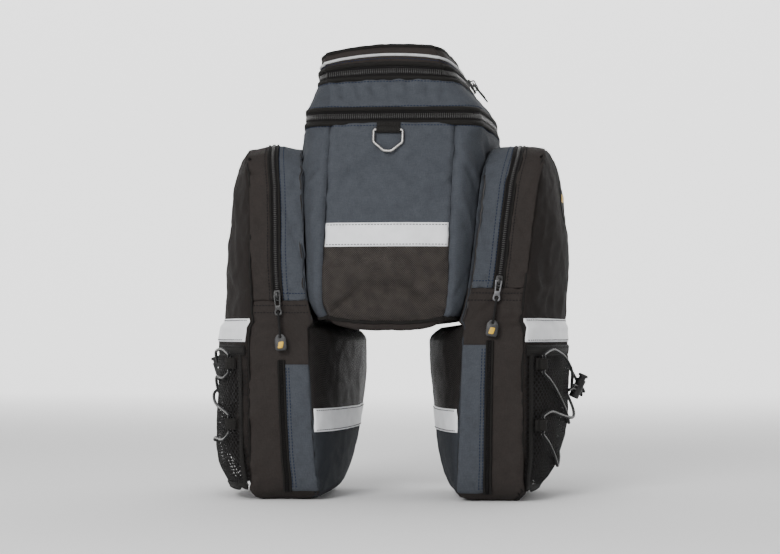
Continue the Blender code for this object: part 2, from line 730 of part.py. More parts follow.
def make_ring(bag):
    """The webbing tab sewn at the top of the face, and the steel ring that hangs in it."""
    c = (MAIN_ZIP_HEIGHT - RING_BELOW_ZIP - TRUNK_BASE_HEIGHT) / TRUNK_HEIGHT
    centre = 0.5 + RING_OFFSET / FACE_WIDTH
    origin, out, up = surface_frame(lambda a, z: trunk_point(a, 0, z), centre, c)
    if out.y > 0:
        out = -out
    channel = RING_WIRE / 2 + RUNNING_CLEARANCE
    outside = channel + TAB_WALL
    frame = frame_at(origin + out * (outside + LIFT), out, up)
    reach = (RING_WIDTH - RING_WIRE) / 2
    flat = RING_FLAT / 2
    corners = [(-reach, 0), (reach, 0), (reach, -RING_LEG), (flat, -RING_DROP)]
    corners += [(-flat, -RING_DROP), (-reach, -RING_LEG)]
    path = [Vector((x, 0, z)) for x, z in fillet(corners, 0.0016)]
    add_cord("ring", path, RING_WIRE, "steel", bag, frame, closed=True)
    front = outside - 2 * TAB_WALL
    turn = math.acos(front / outside)
    arc = [-math.tau * k / 16 for k in range(16)]
    outline = [(outside * math.cos(t), outside * math.sin(t)) for t in arc if t > turn - math.tau]
    outline += [(front, outside * math.sin(turn)), (front, TAB_DROP), (outside, TAB_DROP)]
    turned = frame @ Matrix.Rotation(math.pi / 2, 4, "Z")
    outlines = [outline, circle(0, 0, channel)]
    add_plate("ring_tab", outlines, TAB_WIDTH, "webbing", bag, turned)


def fillet(corners, radius):
    """The closed outline with each corner rounded by three points."""
    outline = []
    for before, corner, after in zip(corners[-1:] + corners, corners, corners[1:] + corners[:1]):
        corner = Vector(corner)
        start = corner + (Vector(before) - corner).normalized() * radius
        end = corner + (Vector(after) - corner).normalized() * radius
        middle = (start + end + 2 * corner) / 4
        outline += [tuple(start), tuple(middle), tuple(end)]
    return outline


def lathe(profile, steps):
    bm = bmesh.new()
    verts = [bm.verts.new((r, 0, z)) for r, z in profile]
    edges = [bm.edges.new(pair) for pair in zip(verts, verts[1:])]
    bmesh.ops.spin(bm, geom=verts + edges, axis=(0, 0, 1), cent=(0, 0, 0), angle=math.tau, steps=steps)
    bmesh.ops.remove_doubles(bm, verts=bm.verts[:], dist=1e-6)
    bmesh.ops.recalc_face_normals(bm, faces=bm.faces[:])
    return bm


def block(size, centre, bevel=0.0):
    bm = bmesh.new()
    matrix = Matrix.Translation(centre) @ Matrix.Diagonal((*size, 1))
    bmesh.ops.create_cube(bm, size=1.0, matrix=matrix)
    if bevel:
        bmesh.ops.bevel(bm, geom=bm.edges[:], offset=bevel, segments=1, affect="EDGES")
    return bm


def add_boolean(obj, cutter, operation):
    cutter.display_type = "WIRE"
    cutter.hide_render = True
    modifier = obj.modifiers.new(cutter.name, "BOOLEAN")
    modifier.operation = operation
    modifier.solver = "EXACT"
    modifier.object = cutter


def make_lock(side, name, bag, cutters):
    """The sprung cord lock. Returns its frame. Its two strands pass along X, one above the other."""
    place = LOCK_PLACES[side]
    origin, out = outer_face(side, place.along, place.height, LOCK_STAND)
    frame = frame_at(origin, out, Vector((0, 0, 1)))
    frame = frame @ Matrix.Rotation(math.radians(place.lean), 4, "X")
    frame = frame @ Matrix.Rotation(math.radians(-side * place.turn), 4, "Z")
    half = LOCK_LENGTH / 2
    bore = LOCK_RADIUS - LOCK_WALL
    floor = 0.0015 - half
    rim = 0.0008
    profile = [(0, -half), (LOCK_RADIUS - rim, -half), (LOCK_RADIUS, rim - half), (LOCK_RADIUS, half - rim)]
    profile += [(LOCK_RADIUS - rim / 2, half), (bore, half), (bore, floor), (0, floor)]
    body = add_mesh(f"{name}_lock", lathe(profile, 12), "plastic", bag, frame)
    stem = bore - RUNNING_CLEARANCE
    foot = floor + BUTTON_TRAVEL + RUNNING_CLEARANCE
    head = half + BUTTON_TRAVEL + RUNNING_CLEARANCE
    top = head + BUTTON_HEAD
    profile = [(0, foot), (stem, foot), (stem, head), (LOCK_RADIUS, head), (LOCK_RADIUS, top - rim)]
    profile += [(LOCK_RADIUS - rim, top), (stem - rim, top), (stem - 2 * rim, top - rim), (0, top - rim)]
    button = add_mesh(f"{name}_lock_button", lathe(profile, 12), "plastic", bag, frame)
    width = CORD_DIAMETER + 2 * CORD_CLEARANCE
    reach = CORD_DIAMETER + 2 * CORD_CLEARANCE
    slot = block((4 * LOCK_RADIUS, width, 2 * reach), (0, 0, 0))
    slot = add_mesh(f"{name}_lock_slot", slot, "plastic", cutters, frame)
    add_boolean(body, slot, "DIFFERENCE")
    tall = block((4 * LOCK_RADIUS, width, 2 * reach + BUTTON_TRAVEL), (0, 0, BUTTON_TRAVEL / 2))
    tall = add_mesh(f"{name}_button_slot", tall, "plastic", cutters, frame)
    add_boolean(button, tall, "DIFFERENCE")
    return frame


def make_lacing(side, name, bag, cutters):
    """The webbing loops at the net's edges, the lock, and the elastic cord laced through them."""
    channel = CORD_DIAMETER / 2 + CORD_CLEARANCE
    outside = channel + LOOP_WALL
    reach = LOOP_LENGTH / 2 - outside
    tunnels = {}
    for end, along in (("rear", REAR_LOOP), ("front", FRONT_LOOP)):
        for number, height in enumerate(LOOP_HEIGHTS, start=1):
            origin, out = outer_face(side, along, height, 0)
            frame = frame_at(origin, out, Vector((0, 0, 1)))
            toward = side if end == "rear" else -side
            rise = LIFT + outside
            turns = [math.pi * (k / 4 - 0.5) for k in range(5)]
            outline = [(reach + outside * math.cos(t), rise + outside * math.sin(t)) for t in turns]
            outline += [(4 * LOOP_WALL - LOOP_LENGTH / 2, LIFT + 2.2 * LOOP_WALL)]
            outline += [(-LOOP_LENGTH / 2, LIFT + 2 * LOOP_WALL), (-LOOP_LENGTH / 2, LIFT)]
            outlines = [outline, circle(reach, rise, channel, 8)]
            outlines = [[(x * toward, z) for x, z in line] for line in outlines]
            flat = frame @ Matrix.Rotation(math.pi / 2, 4, "X")
            add_plate(f"{name}_{end}_loop_{number}", outlines, LOOP_WIDTH, "webbing", bag, flat)
            half = LOOP_WIDTH / 2
            levels = (half + 0.004, half, -half, -half - 0.004)
            tunnels[end, number] = [frame @ Vector((reach * toward, -rise, z)) for z in levels]
    lock = make_lock(side, name, bag, cutters)
    strand = CORD_DIAMETER / 2 + CORD_CLEARANCE / 2

    def through(first, last, height):
        """A strand through the lock, from the rear to the front."""
        places = [first, -0.010, -LOCK_RADIUS, 0, LOCK_RADIUS, 0.010, last]
        drops = [-0.003, 0, 0, 0, 0, 0, -0.003]
        return [lock @ Vector((side * x, 0, height + drop)) for x, drop in zip(places, drops)]

    spans = []
    for rows in LEFT_LACING if side < 0 else RIGHT_LACING:
        spans.append([outer_face(side, row.along, row.height, row.lift)[0] for row in rows])
    path = through(-0.012, 0.016, strand)[::-1] + spans[0] + tunnels["rear", 1] + spans[1]
    path += tunnels["front", 2] + spans[2] + tunnels["rear", 2][::-1] + spans[3]
    path += tunnels["front", 1][::-1] + spans[4] + through(-0.015, 0.013, -strand)[::-1]
    add_cord(f"{name}_elastic", smooth_path(path, 2), CORD_DIAMETER, "cord", bag, rounding=1)


def make_pull(name, origin, out, up, colour, bag, cutters, tilt=0.0):
    """A zip slider and its puller. Returns the puller's hinge frame and the height of its eye."""
    frame = frame_at(origin, out, up)
    size = (SLIDER_WIDTH, SLIDER_DEPTH, SLIDER_LENGTH)
    slider = block(size, (0, -LIFT - SLIDER_DEPTH / 2, 0), 0.0006)
    slider = add_mesh(f"{name}_slider", slider, colour, bag, frame)
    foot = LIFT + SLIDER_DEPTH - 0.0008
    crest = foot + BRIDGE_RISE
    arch = [(-0.0042, foot), (-0.0034, crest - 0.0008), (-0.0022, crest), (0.0022, crest)]
    arch += [(0.0034, crest - 0.0008), (0.0042, foot), (0.0029, foot), (0.0024, crest - 0.0017)]
    arch += [(0.0017, crest - BRIDGE_WIRE), (-0.0017, crest - BRIDGE_WIRE)]
    arch += [(-0.0024, crest - 0.0017), (-0.0029, foot)]
    upright = Matrix.Identity(4)
    upright.col[0] = frame.col[2]
    upright.col[2] = -frame.col[1]
    upright.col[1] = upright.col[2].to_3d().cross(upright.col[0].to_3d()).to_4d()
    upright.col[1][3] = 0
    upright.col[3] = frame.col[3]
    bridge = add_plate(f"{name}_bridge", [arch], BRIDGE_WIDTH, colour, cutters, upright)
    add_boolean(slider, bridge, "UNION")
    hinge = frame @ Matrix.Translation((0, -(crest - BRIDGE_WIRE - BRIDGE_PLAY), 0))
    hinge = hinge @ Matrix.Rotation(math.radians(-tilt), 4, "X")
    half = PULLER_WIDTH / 2
    low = -PULLER_LENGTH
    outline = [(-half, 0.0006), (half, 0.0006), (half * 0.72, low * 0.62), (half, low * 0.80)]
    outline += [(half, low * 0.93), (half * 0.6, low), (-half * 0.6, low), (-half, low * 0.93)]
    outline += [(-half, low * 0.80), (-half * 0.72, low * 0.62)]
    slot = [(-0.0018, -0.0010), (0.0018, -0.0010), (0.0018, low * 0.5), (-0.0018, low * 0.5)]
    eye = low + EYE_RADIUS + 0.0013
    outlines = [outline, slot, circle(0, eye, EYE_RADIUS, 8)]
    add_plate(f"{name}_puller", outlines, PULLER_THICKNESS, colour, bag, hinge)
    return hinge, eye


def hang_tab(name, hinge, eye, bag):
    """The cord link in a puller's eye, and the moulded tab on the link."""
    gap = (MOULDED_DEPTH + PULL_CORD) / 2 + LINK_CLEARANCE
    end = eye - PULL_CORD_LENGTH
    ring = fillet([(-gap, eye), (gap, eye), (gap, end), (-gap, end)], 0.0013)
    link = [Vector((0, y, z)) for y, z in ring]
    add_cord(f"{name}_link", link, PULL_CORD, "cord", bag, hinge, closed=True, rounding=1)
    top = end + EYE_RADIUS / 2 + PULL_CORD
    half = MOULDED_WIDTH / 2
    foot = top - MOULDED_LENGTH
    outline = [(-0.0030, top), (0.0030, top), (half, top - 0.0045), (half, foot + 0.0020)]
    outline += [(half - 0.0015, foot), (-half + 0.0015, foot), (-half, foot + 0.0020), (-half, top - 0.0045)]
    hole = circle(0, end, PULL_CORD / 2 + LINK_CLEARANCE, 8)
    add_plate(f"{name}_tab", [outline, hole], MOULDED_DEPTH, "rubber", bag, hinge)


def make_pannier_pull(side, name, height, colour, bag, cutters):
    a = (ZIP_INNER + ZIP_OUTER) / 2
    c = height / PANNIER_HEIGHT
    origin, out, up = surface_frame(lambda u, v: pannier_point(side, u, 0, v), a, c)
    if out.y > 0:
        out = -out
    hinge, eye = make_pull(f"{name}_pull", origin, out, up, colour, bag, cutters)
    hang_tab(f"{name}_pull", hinge, eye, bag)


def make_lid_pulls(bag, cutters):
    c = (LID_ZIP_HEIGHT + LID_ZIP_WIDTH / 2 - TRUNK_BASE_HEIGHT) / TRUNK_HEIGHT
    for number, b in enumerate(LID_PULLS, start=1):
        origin, out, up = surface_frame(lambda u, v: trunk_point(1, u, v), b, c)
        if out.x < 0:
            out = -out
        make_pull(f"lid_pull_{number}", origin, out, up, "plastic", bag, cutters, LID_PULL_TILT)


def clear_scene():
    for obj in list(bpy.data.objects):
        bpy.data.objects.remove(obj, do_unlink=True)


def new_collection(name, hidden=False):
    collection = bpy.data.collections.new(name)
    bpy.context.scene.collection.children.link(collection)
    collection.hide_render = hidden
    return collection


def make_all():
    clear_scene()
    bag = new_collection("bicycle_trunk_bag")
    cutters = new_collection("cutters", hidden=True)
    make_trunk(bag)
    for side, name in ((-1, "left"), (1, "right")):
        make_pannier(side, name, bag)
        make_lacing(side, name, bag, cutters)
    make_ring(bag)
    make_pannier_pull(-1, "left", LEFT_PULL_HEIGHT, "plastic", bag, cutters)
    make_pannier_pull(1, "right", RIGHT_PULL_HEIGHT, "puller", bag, cutters)
    make_lid_pulls(bag, cutters)


make_all()
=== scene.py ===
import json
import math
from collections import namedtuple

import bmesh
import bpy
import numpy as np
from mathutils import Matrix, Vector, noise

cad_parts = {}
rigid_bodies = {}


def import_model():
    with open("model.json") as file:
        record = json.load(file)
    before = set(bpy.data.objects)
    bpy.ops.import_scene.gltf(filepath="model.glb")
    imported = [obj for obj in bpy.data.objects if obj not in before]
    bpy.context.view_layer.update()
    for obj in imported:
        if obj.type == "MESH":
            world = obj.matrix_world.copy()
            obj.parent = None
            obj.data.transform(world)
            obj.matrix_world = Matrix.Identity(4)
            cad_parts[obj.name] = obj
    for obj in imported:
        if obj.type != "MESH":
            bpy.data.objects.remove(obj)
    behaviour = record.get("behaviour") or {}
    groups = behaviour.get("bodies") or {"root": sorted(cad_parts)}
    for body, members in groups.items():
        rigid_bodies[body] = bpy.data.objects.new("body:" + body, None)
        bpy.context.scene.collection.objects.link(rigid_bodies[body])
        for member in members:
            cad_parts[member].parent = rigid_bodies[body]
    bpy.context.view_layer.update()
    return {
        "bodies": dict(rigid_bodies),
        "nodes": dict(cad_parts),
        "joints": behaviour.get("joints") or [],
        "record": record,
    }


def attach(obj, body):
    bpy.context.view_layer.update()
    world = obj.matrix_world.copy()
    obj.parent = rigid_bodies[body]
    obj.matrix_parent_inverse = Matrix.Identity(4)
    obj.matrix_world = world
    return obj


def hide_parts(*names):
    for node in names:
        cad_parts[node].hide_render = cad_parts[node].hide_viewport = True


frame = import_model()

BODY = "bag"

# The same sizes as the part's source, in metres
PANNIER_HEIGHT = 0.378
PANNIER_LENGTH = 0.306
GUSSET_WIDTH = 0.064
INNER_EDGE = 0.084
OUTER_BELLY = 0.046
INNER_BELLY = 0.044
TOP_CORNER = 0.045
BOTTOM_REAR_CORNER = 0.026
BOTTOM_FRONT_CORNER = 0.040
ZIP_ENDS = {-1: 0.213, 1: 0.226}
ZIP_INNER = 0.45
ZIP_OUTER = 0.61
FLAP_HEIGHTS = {-1: 0.145, 1: 0.166}
FLAP_SHARE = 0.41
FLAP_ZIP_SHARE = 0.50
TRUNK_BASE_HEIGHT = 0.190
TRUNK_LENGTH = 0.344
TRUNK_WIDTH = 0.216
FACE_WIDTH = 0.132
FACE_CROWN = 0.006
LID_ARCH = 0.012
LID_DOME = 0.002
BASE_SAG = 0.003
CORNER_POWER = 2.4
MAIN_ZIP_HEIGHT = 0.399
MAIN_ZIP_WIDTH = 0.015
COLLAR_HEIGHT = 0.032
LID_ZIP_HEIGHT = MAIN_ZIP_HEIGHT + MAIN_ZIP_WIDTH + COLLAR_HEIGHT
LID_ZIP_WIDTH = 0.012
LID_SIDE = 0.019
TRUNK_HEIGHT = LID_ZIP_HEIGHT + LID_ZIP_WIDTH + LID_SIDE - TRUNK_BASE_HEIGHT
PIPING_RISE = 0.0058
PIPING_WIDTH = 0.0035
TAPE = 0.001
REFLECTIVE_WIDTH = 0.025
FRONT_TAPE_FOOT = 0.269
OUTER_TAPE_FOOT = 0.169
INNER_TAPE_FOOT = 0.073
LIFT = 0.0004
SIDE_CLEARANCE = 0.0018
NET_FOOT = 0.012
NET_TOP = 0.162
NET_SHEET = 0.0012
NET_SAG = 0.007
LOOP_WIDTH = 0.012
LOOP_LENGTH = 0.015
LOOP_WALL = 0.0013
CORD_DIAMETER = 0.0034
CORD_CLEARANCE = 0.0008
CENTRE_X = 0.0073
CENTRE_Y = 0.0061

Section = namedtuple("Section", "height tuck gusset outer inner rear front")
LEFT_SECTIONS = (
    Section(0.000, 1.080, 0.70, 0.20, 0.03, -0.88, 0.13),
    Section(0.012, 0.970, 0.94, 0.52, 0.15, -0.93, 0.20),
    Section(0.036, 0.925, 1.09, 0.80, 0.30, -0.96, 0.29),
    Section(0.110, 0.940, 1.09, 0.98, 0.56, -0.98, 0.52),
    Section(0.190, 0.955, 1.06, 1.02, 0.74, -0.99, 0.73),
    Section(0.290, 0.965, 1.03, 1.05, 0.88, -1.00, 0.91),
    Section(0.400, 0.980, 1.01, 1.10, 0.99, -1.00, 0.99),
    Section(0.450, 0.985, 1.00, 1.12, 1.00, -1.00, 1.00),
    Section(0.484, 0.992, 0.98, 1.12, 0.74, -1.00, 1.00),
    Section(0.500, 1.000, 1.02, 1.12, 0.03, -1.00, 1.00),
    Section(0.541, 1.000, 0.98, 1.11, 0.00, -1.00, 1.00),
    Section(0.600, 1.000, 0.92, 1.08, 0.00, -0.99, 1.00),
    Section(0.750, 1.000, 0.91, 0.94, 0.00, -0.97, 0.98),
    Section(0.880, 1.000, 0.92, 0.76, 0.00, -0.95, 0.96),
    Section(0.960, 1.000, 0.90, 0.58, 0.00, -0.93, 0.94),
    Section(1.000, 1.000, 0.86, 0.42, 0.00, -0.92, 0.93),
)
RIGHT_SECTIONS = (
    Section(0.000, 1.050, 0.62, 0.04, 0.03, -0.88, 0.13),
    Section(0.012, 0.890, 0.94, 0.16, 0.15, -0.93, 0.20),
    Section(0.036, 0.850, 1.09, 0.30, 0.30, -0.96, 0.29),
    Section(0.110, 0.870, 1.09, 0.62, 0.56, -0.98, 0.52),
    Section(0.190, 0.900, 1.06, 0.76, 0.74, -0.99, 0.73),
    Section(0.290, 0.930, 1.03, 0.88, 0.88, -1.00, 0.91),
    Section(0.400, 0.960, 1.01, 0.95, 0.99, -1.00, 0.99),
    Section(0.450, 0.970, 1.00, 0.98, 1.00, -1.00, 1.00),
    Section(0.484, 0.985, 0.98, 0.98, 0.74, -1.00, 1.00),
    Section(0.500, 1.000, 1.02, 0.98, 0.03, -1.00, 1.00),
    Section(0.541, 1.000, 0.98, 0.97, 0.00, -1.00, 1.00),
    Section(0.600, 1.000, 0.94, 0.96, 0.00, -0.99, 1.00),
    Section(0.750, 1.000, 0.94, 0.84, 0.00, -0.97, 0.98),
    Section(0.880, 1.000, 0.96, 0.54, 0.00, -0.95, 0.96),
    Section(0.960, 1.000, 0.96, 0.30, 0.00, -0.93, 0.94),
    Section(1.000, 1.000, 0.92, 0.14, 0.00, -0.92, 0.93),
)
TrunkSection = namedtuple("TrunkSection", "height face belly rear front")
TRUNK_SECTIONS = (
    TrunkSection(0.000, 1.00, 0.80, -0.95, 0.90),
    TrunkSection(0.050, 1.01, 0.84, -0.99, 0.94),
    TrunkSection(0.120, 1.01, 0.89, -1.01, 0.96),
    TrunkSection(0.250, 1.01, 0.93, -1.02, 0.97),
    TrunkSection(0.400, 1.00, 0.96, -1.02, 0.97),
    TrunkSection(0.570, 1.00, 0.99, -1.01, 0.96),
    TrunkSection(0.720, 1.00, 1.00, -0.99, 0.95),
    TrunkSection(0.785, 0.99, 0.98, -0.96, 0.93),
    TrunkSection(0.840, 0.97, 0.90, -0.90, 0.89),
    TrunkSection(0.895, 0.95, 0.80, -0.85, 0.84),
    TrunkSection(0.930, 0.95, 0.775, -0.83, 0.83),
    TrunkSection(0.970, 0.94, 0.745, -0.81, 0.81),
    TrunkSection(1.000, 0.88, 0.690, -0.77, 0.77),
)
Sway = namedtuple("Sway", "height shift")
SWAY_RANGE = 0.010
CORNER_LIFT = 0.0045
FOOT_NARROWING = 0.07
SWAYS = (
    Sway(0.00, 0.10),
    Sway(0.12, -0.15),
    Sway(0.33, -0.40),
    Sway(0.41, -0.35),
    Sway(0.50, -0.25),
    Sway(0.69, 0.16),
    Sway(0.81, 0.45),
    Sway(0.86, 0.30),
    Sway(0.92, -0.35),
    Sway(1.00, -1.30),
)
FULL_HEIGHT = TRUNK_BASE_HEIGHT + TRUNK_HEIGHT + LID_ARCH

SAMPLES = np.linspace(0.0, 1.0, 1001)


def smooth_column(rows, column):
    """The column on a fine scale of heights, on a smooth curve that never overshoots."""
    xs = np.array([row.height for row in rows])
    ys = np.array([getattr(row, column) for row in rows])
    steps = np.diff(xs)
    slopes = np.diff(ys) / steps
    inner = np.zeros(len(xs) - 2)
    same = slopes[:-1] * slopes[1:] > 0
    total = np.where(same, slopes[:-1] + slopes[1:], 1.0)
    inner[same] = (2 * slopes[:-1] * slopes[1:] / total)[same]
    tangents = np.concatenate([slopes[:1], inner, slopes[-1:]])
    i = np.clip(np.searchsorted(xs, SAMPLES, side="right") - 1, 0, len(xs) - 2)
    t = (SAMPLES - xs[i]) / steps[i]
    rise = (2 * t**3 - 3 * t**2 + 1) * ys[i] + (3 * t**2 - 2 * t**3) * ys[i + 1]
    bend = (t**3 - 2 * t**2 + t) * tangents[i] + (t**3 - t**2) * tangents[i + 1]
    return rise + steps[i] * bend


COLUMNS = {
    (key, column): smooth_column(rows, column)
    for key, rows in ((-1, LEFT_SECTIONS), (1, RIGHT_SECTIONS), ("trunk", TRUNK_SECTIONS), ("sway", SWAYS))
    for column in rows[0]._fields[1:]
}


def value(key, column, height):
    return np.interp(height, SAMPLES, COLUMNS[key, column])


def sway(z):
    return CENTRE_X + SWAY_RANGE * value("sway", "shift", z / FULL_HEIGHT)


def bow(share):
    offset = np.minimum(1.0, np.abs(2 * share - 1))
    return (1 - offset**CORNER_POWER) ** (1 / CORNER_POWER)


def trunk_size(column, z):
    whole = {"face": FACE_WIDTH, "belly": TRUNK_WIDTH}.get(column, TRUNK_LENGTH)
    return value("trunk", column, (z - TRUNK_BASE_HEIGHT) / TRUNK_HEIGHT) * whole / 2


def trunk_half_width(y, z):
    rear, front = trunk_size("rear", z), trunk_size("front", z)
    share = np.clip((y - rear) / (front - rear), 0.0, 1.0)
    face = trunk_size("face", z)
    return face + (trunk_size("belly", z) - face) * bow(share)


def trunk_points(a, b, c):
    """Points of the trunk's surface: a runs across, b forward and c up, each from 0 to 1."""
    a, b, c = np.broadcast_arrays(*(np.asarray(v, float) for v in (a, b, c)))
    z = TRUNK_BASE_HEIGHT + c * TRUNK_HEIGHT
    rear, front = trunk_size("rear", z), trunk_size("front", z)
    y = rear + (front - rear) * b
    across = 2 * a - 1
    low = np.maximum(0.0, 1 - c / 0.12) ** 2
    x = across * trunk_half_width(y, z) * (1 - FOOT_NARROWING * low)
    middle = 1 - across**2
    y = y - FACE_CROWN * middle * (1 - 2 * b) * np.minimum(1.0, np.minimum(4 * c, 4 * (1 - c)))
    rise = np.maximum(0.0, z - LID_ZIP_HEIGHT - LID_ZIP_WIDTH)
    span = TRUNK_BASE_HEIGHT + TRUNK_HEIGHT - LID_ZIP_HEIGHT - LID_ZIP_WIDTH
    lifted = z + LID_ARCH * middle * np.minimum(1.0, 1.6 * rise / span)
    along = 1 - (2 * b - 1) ** 2
    lifted = lifted + np.where(c >= 1, LID_DOME * along * middle, 0)
    lifted = lifted - np.where(c <= 0, BASE_SAG * along * middle, 0)
    lifted = lifted + CORNER_LIFT * np.abs(across) ** 3 * low
    return np.stack([x + sway(lifted), y + CENTRE_Y, lifted], axis=-1)


def pannier_size(side, column, z):
    whole = {
        "tuck": INNER_EDGE,
        "gusset": GUSSET_WIDTH,
        "outer": OUTER_BELLY,
        "inner": INNER_BELLY,
    }.get(column, PANNIER_LENGTH / 2)
    return value(side, column, z / PANNIER_HEIGHT) * whole


def round_corners(b, c):
    u, v = b * PANNIER_LENGTH, c * PANNIER_HEIGHT
    for at_front, at_top, radius in (
        (False, True, TOP_CORNER),
        (True, True, TOP_CORNER),
        (False, False, BOTTOM_REAR_CORNER),
        (True, False, BOTTOM_FRONT_CORNER),
    ):
        fore, high = (1 if at_front else -1), (1 if at_top else -1)
        centre_u = PANNIER_LENGTH - radius if at_front else radius
        centre_v = PANNIER_HEIGHT - radius if at_top else radius
        du, dv = (u - centre_u) * fore, (v - centre_v) * high
        inside = (du > 0) & (dv > 0)
        reach = np.maximum(np.hypot(du, dv), 1e-9)
        scale = np.maximum(du, dv) / reach
        u = np.where(inside, centre_u + du * scale * fore, u)
        v = np.where(inside, centre_v + dv * scale * high, v)
    return u / PANNIER_LENGTH, v / PANNIER_HEIGHT


def pillow(b):
    return np.maximum(0.0, 1 - (2 * b - 1) ** 2) ** 0.7


def pannier_points(side, a, b, c):
    """Points of a pannier's surface: a runs outward, b forward and c up, each from 0 to 1."""
    a, b, c = np.broadcast_arrays(*(np.asarray(v, float) for v in (a, b, c)))
    b, c = round_corners(b, c)
    z = c * PANNIER_HEIGHT
    rear, front = pannier_size(side, "rear", z), pannier_size(side, "front", z)
    y = rear + (front - rear) * b
    shoulder = 2 * BASE_SAG
    blend = np.clip((z - TRUNK_BASE_HEIGHT + shoulder) / shoulder, 0.0, 1.0)
    trunk_z = np.maximum(z, TRUNK_BASE_HEIGHT)
    tuck = pannier_size(side, "tuck", z)
    hug = tuck + (trunk_half_width(y, trunk_z) + SIDE_CLEARANCE - tuck) * blend
    seam = tuck + (trunk_half_width(rear, trunk_z) + SIDE_CLEARANCE - tuck) * blend
    inner = hug - pannier_size(side, "inner", z) * pillow(b)
    outer = seam + pannier_size(side, "gusset", z) + pannier_size(side, "outer", z) * pillow(b)
    x = side * (inner + (outer - inner) * a) + sway(z)
    return np.stack([x, y + CENTRE_Y, z], axis=-1)


def net_lift(b, c):
    z = c * PANNIER_HEIGHT
    share = np.clip((z - NET_FOOT) / (NET_TOP - NET_FOOT), 0.0, 1.0)
    return LIFT + NET_SAG * pillow(b) * np.sin(math.pi * share**0.75) ** 0.8


# Camera, light and floor

CAMERA_DISTANCE = 2.17
CAMERA_AZIMUTH = math.radians(5)
CAMERA_HEIGHT = 0.1785
FOCAL_PIXELS = 1905
PHOTO_WIDTH = 780
SHIFT_PIXELS = (-12, 56)


def make_camera():
    data = bpy.data.cameras.new("photo_camera")
    data.sensor_width = 36
    data.lens = FOCAL_PIXELS / PHOTO_WIDTH * data.sensor_width
    data.shift_x, data.shift_y = (pixels / PHOTO_WIDTH for pixels in SHIFT_PIXELS)
    camera = bpy.data.objects.new("photo_camera", data)
    camera.location = (
        CENTRE_X + CAMERA_DISTANCE * math.sin(CAMERA_AZIMUTH),
        CENTRE_Y - CAMERA_DISTANCE * math.cos(CAMERA_AZIMUTH),
        CAMERA_HEIGHT,
    )
    camera.rotation_euler = (math.pi / 2, 0, CAMERA_AZIMUTH)
    bpy.context.scene.collection.objects.link(camera)
    bpy.context.scene.camera = camera


Lamp = namedtuple("Lamp", "name place size power")
LAMPS = (
    Lamp("key_light", (-0.9, -2.7, 1.4), 1.2, 74),
    Lamp("fill_light", (1.2, -2.6, 0.5), 1.4, 9),
    Lamp("top_light", (-0.2, -0.4, 2.4), 1.4, 14),
    Lamp("back_light", (0.3, 2.6, 1.6), 1.8, 10),
)
FLOOR_LEVEL = -0.0006
SWEEP_START = 3.4
SWEEP_RADIUS = 1.6


def make_studio():
    world = bpy.data.worlds.new("studio")
    world.use_nodes = True
    background = world.node_tree.nodes["Background"]
    background.inputs["Color"].default_value = (1.0, 1.0, 1.0, 1.0)
    background.inputs["Strength"].default_value = 0.28
    bpy.context.scene.world = world
    for lamp in LAMPS:
        data = bpy.data.lights.new(lamp.name, "AREA")
        data.size = lamp.size
        data.energy = lamp.power
        light = bpy.data.objects.new(lamp.name, data)
        light.location = lamp.place
        aim = Vector((0, 0, 0.25)) - light.location
        light.rotation_euler = aim.to_track_quat("-Z", "Y").to_euler()
        bpy.context.scene.collection.objects.link(light)
    turns = np.linspace(0, math.pi / 2, 17)
    profile = [(-6.0, 0.0), (SWEEP_START, 0.0)]
    profile += [(SWEEP_START + SWEEP_RADIUS * math.sin(t), SWEEP_RADIUS * (1 - math.cos(t))) for t in turns[1:]]
    profile += [(SWEEP_START + SWEEP_RADIUS, 7.0)]
    verts = [(x, y, z + FLOOR_LEVEL) for x in (-9.0, 9.0) for y, z in profile]
    count = len(profile)
    faces = [(k, count + k, count + k + 1, k + 1) for k in range(count - 1)]
    mesh = bpy.data.meshes.new("floor")
    mesh.from_pydata(verts, [], faces)
    mesh.polygons.foreach_set("use_smooth", [True] * len(mesh.polygons))
    floor = bpy.data.objects.new("floor", mesh)
    bpy.context.scene.collection.objects.link(floor)
    material = bpy.data.materials.new("studio_floor")
    material.use_nodes = True
    nodes, links = material.node_tree.nodes, material.node_tree.links
    shader = nodes["Principled BSDF"]
    shader.inputs["Base Color"].default_value = (0.90, 0.90, 0.90, 1)
    shader.inputs["Roughness"].default_value = 0.9
    shader.inputs["Emission Color"].default_value = (1, 1, 1, 1)
    place = nodes.new("ShaderNodeNewGeometry")
    split = nodes.new("ShaderNodeSeparateXYZ")
    ramp = nodes.new("ShaderNodeMapRange")
    ramp.interpolation_type = "SMOOTHSTEP"
    ramp.inputs[1].default_value = 0.6
    ramp.inputs[2].default_value = SWEEP_START + SWEEP_RADIUS
    ramp.inputs[4].default_value = 1.6
    links.new(place.outputs["Position"], split.inputs[0])
    links.new(split.outputs["Y"], ramp.inputs[0])
    links.new(ramp.outputs[0], shader.inputs["Emission Strength"])
    mesh.materials.append(material)


# Materials

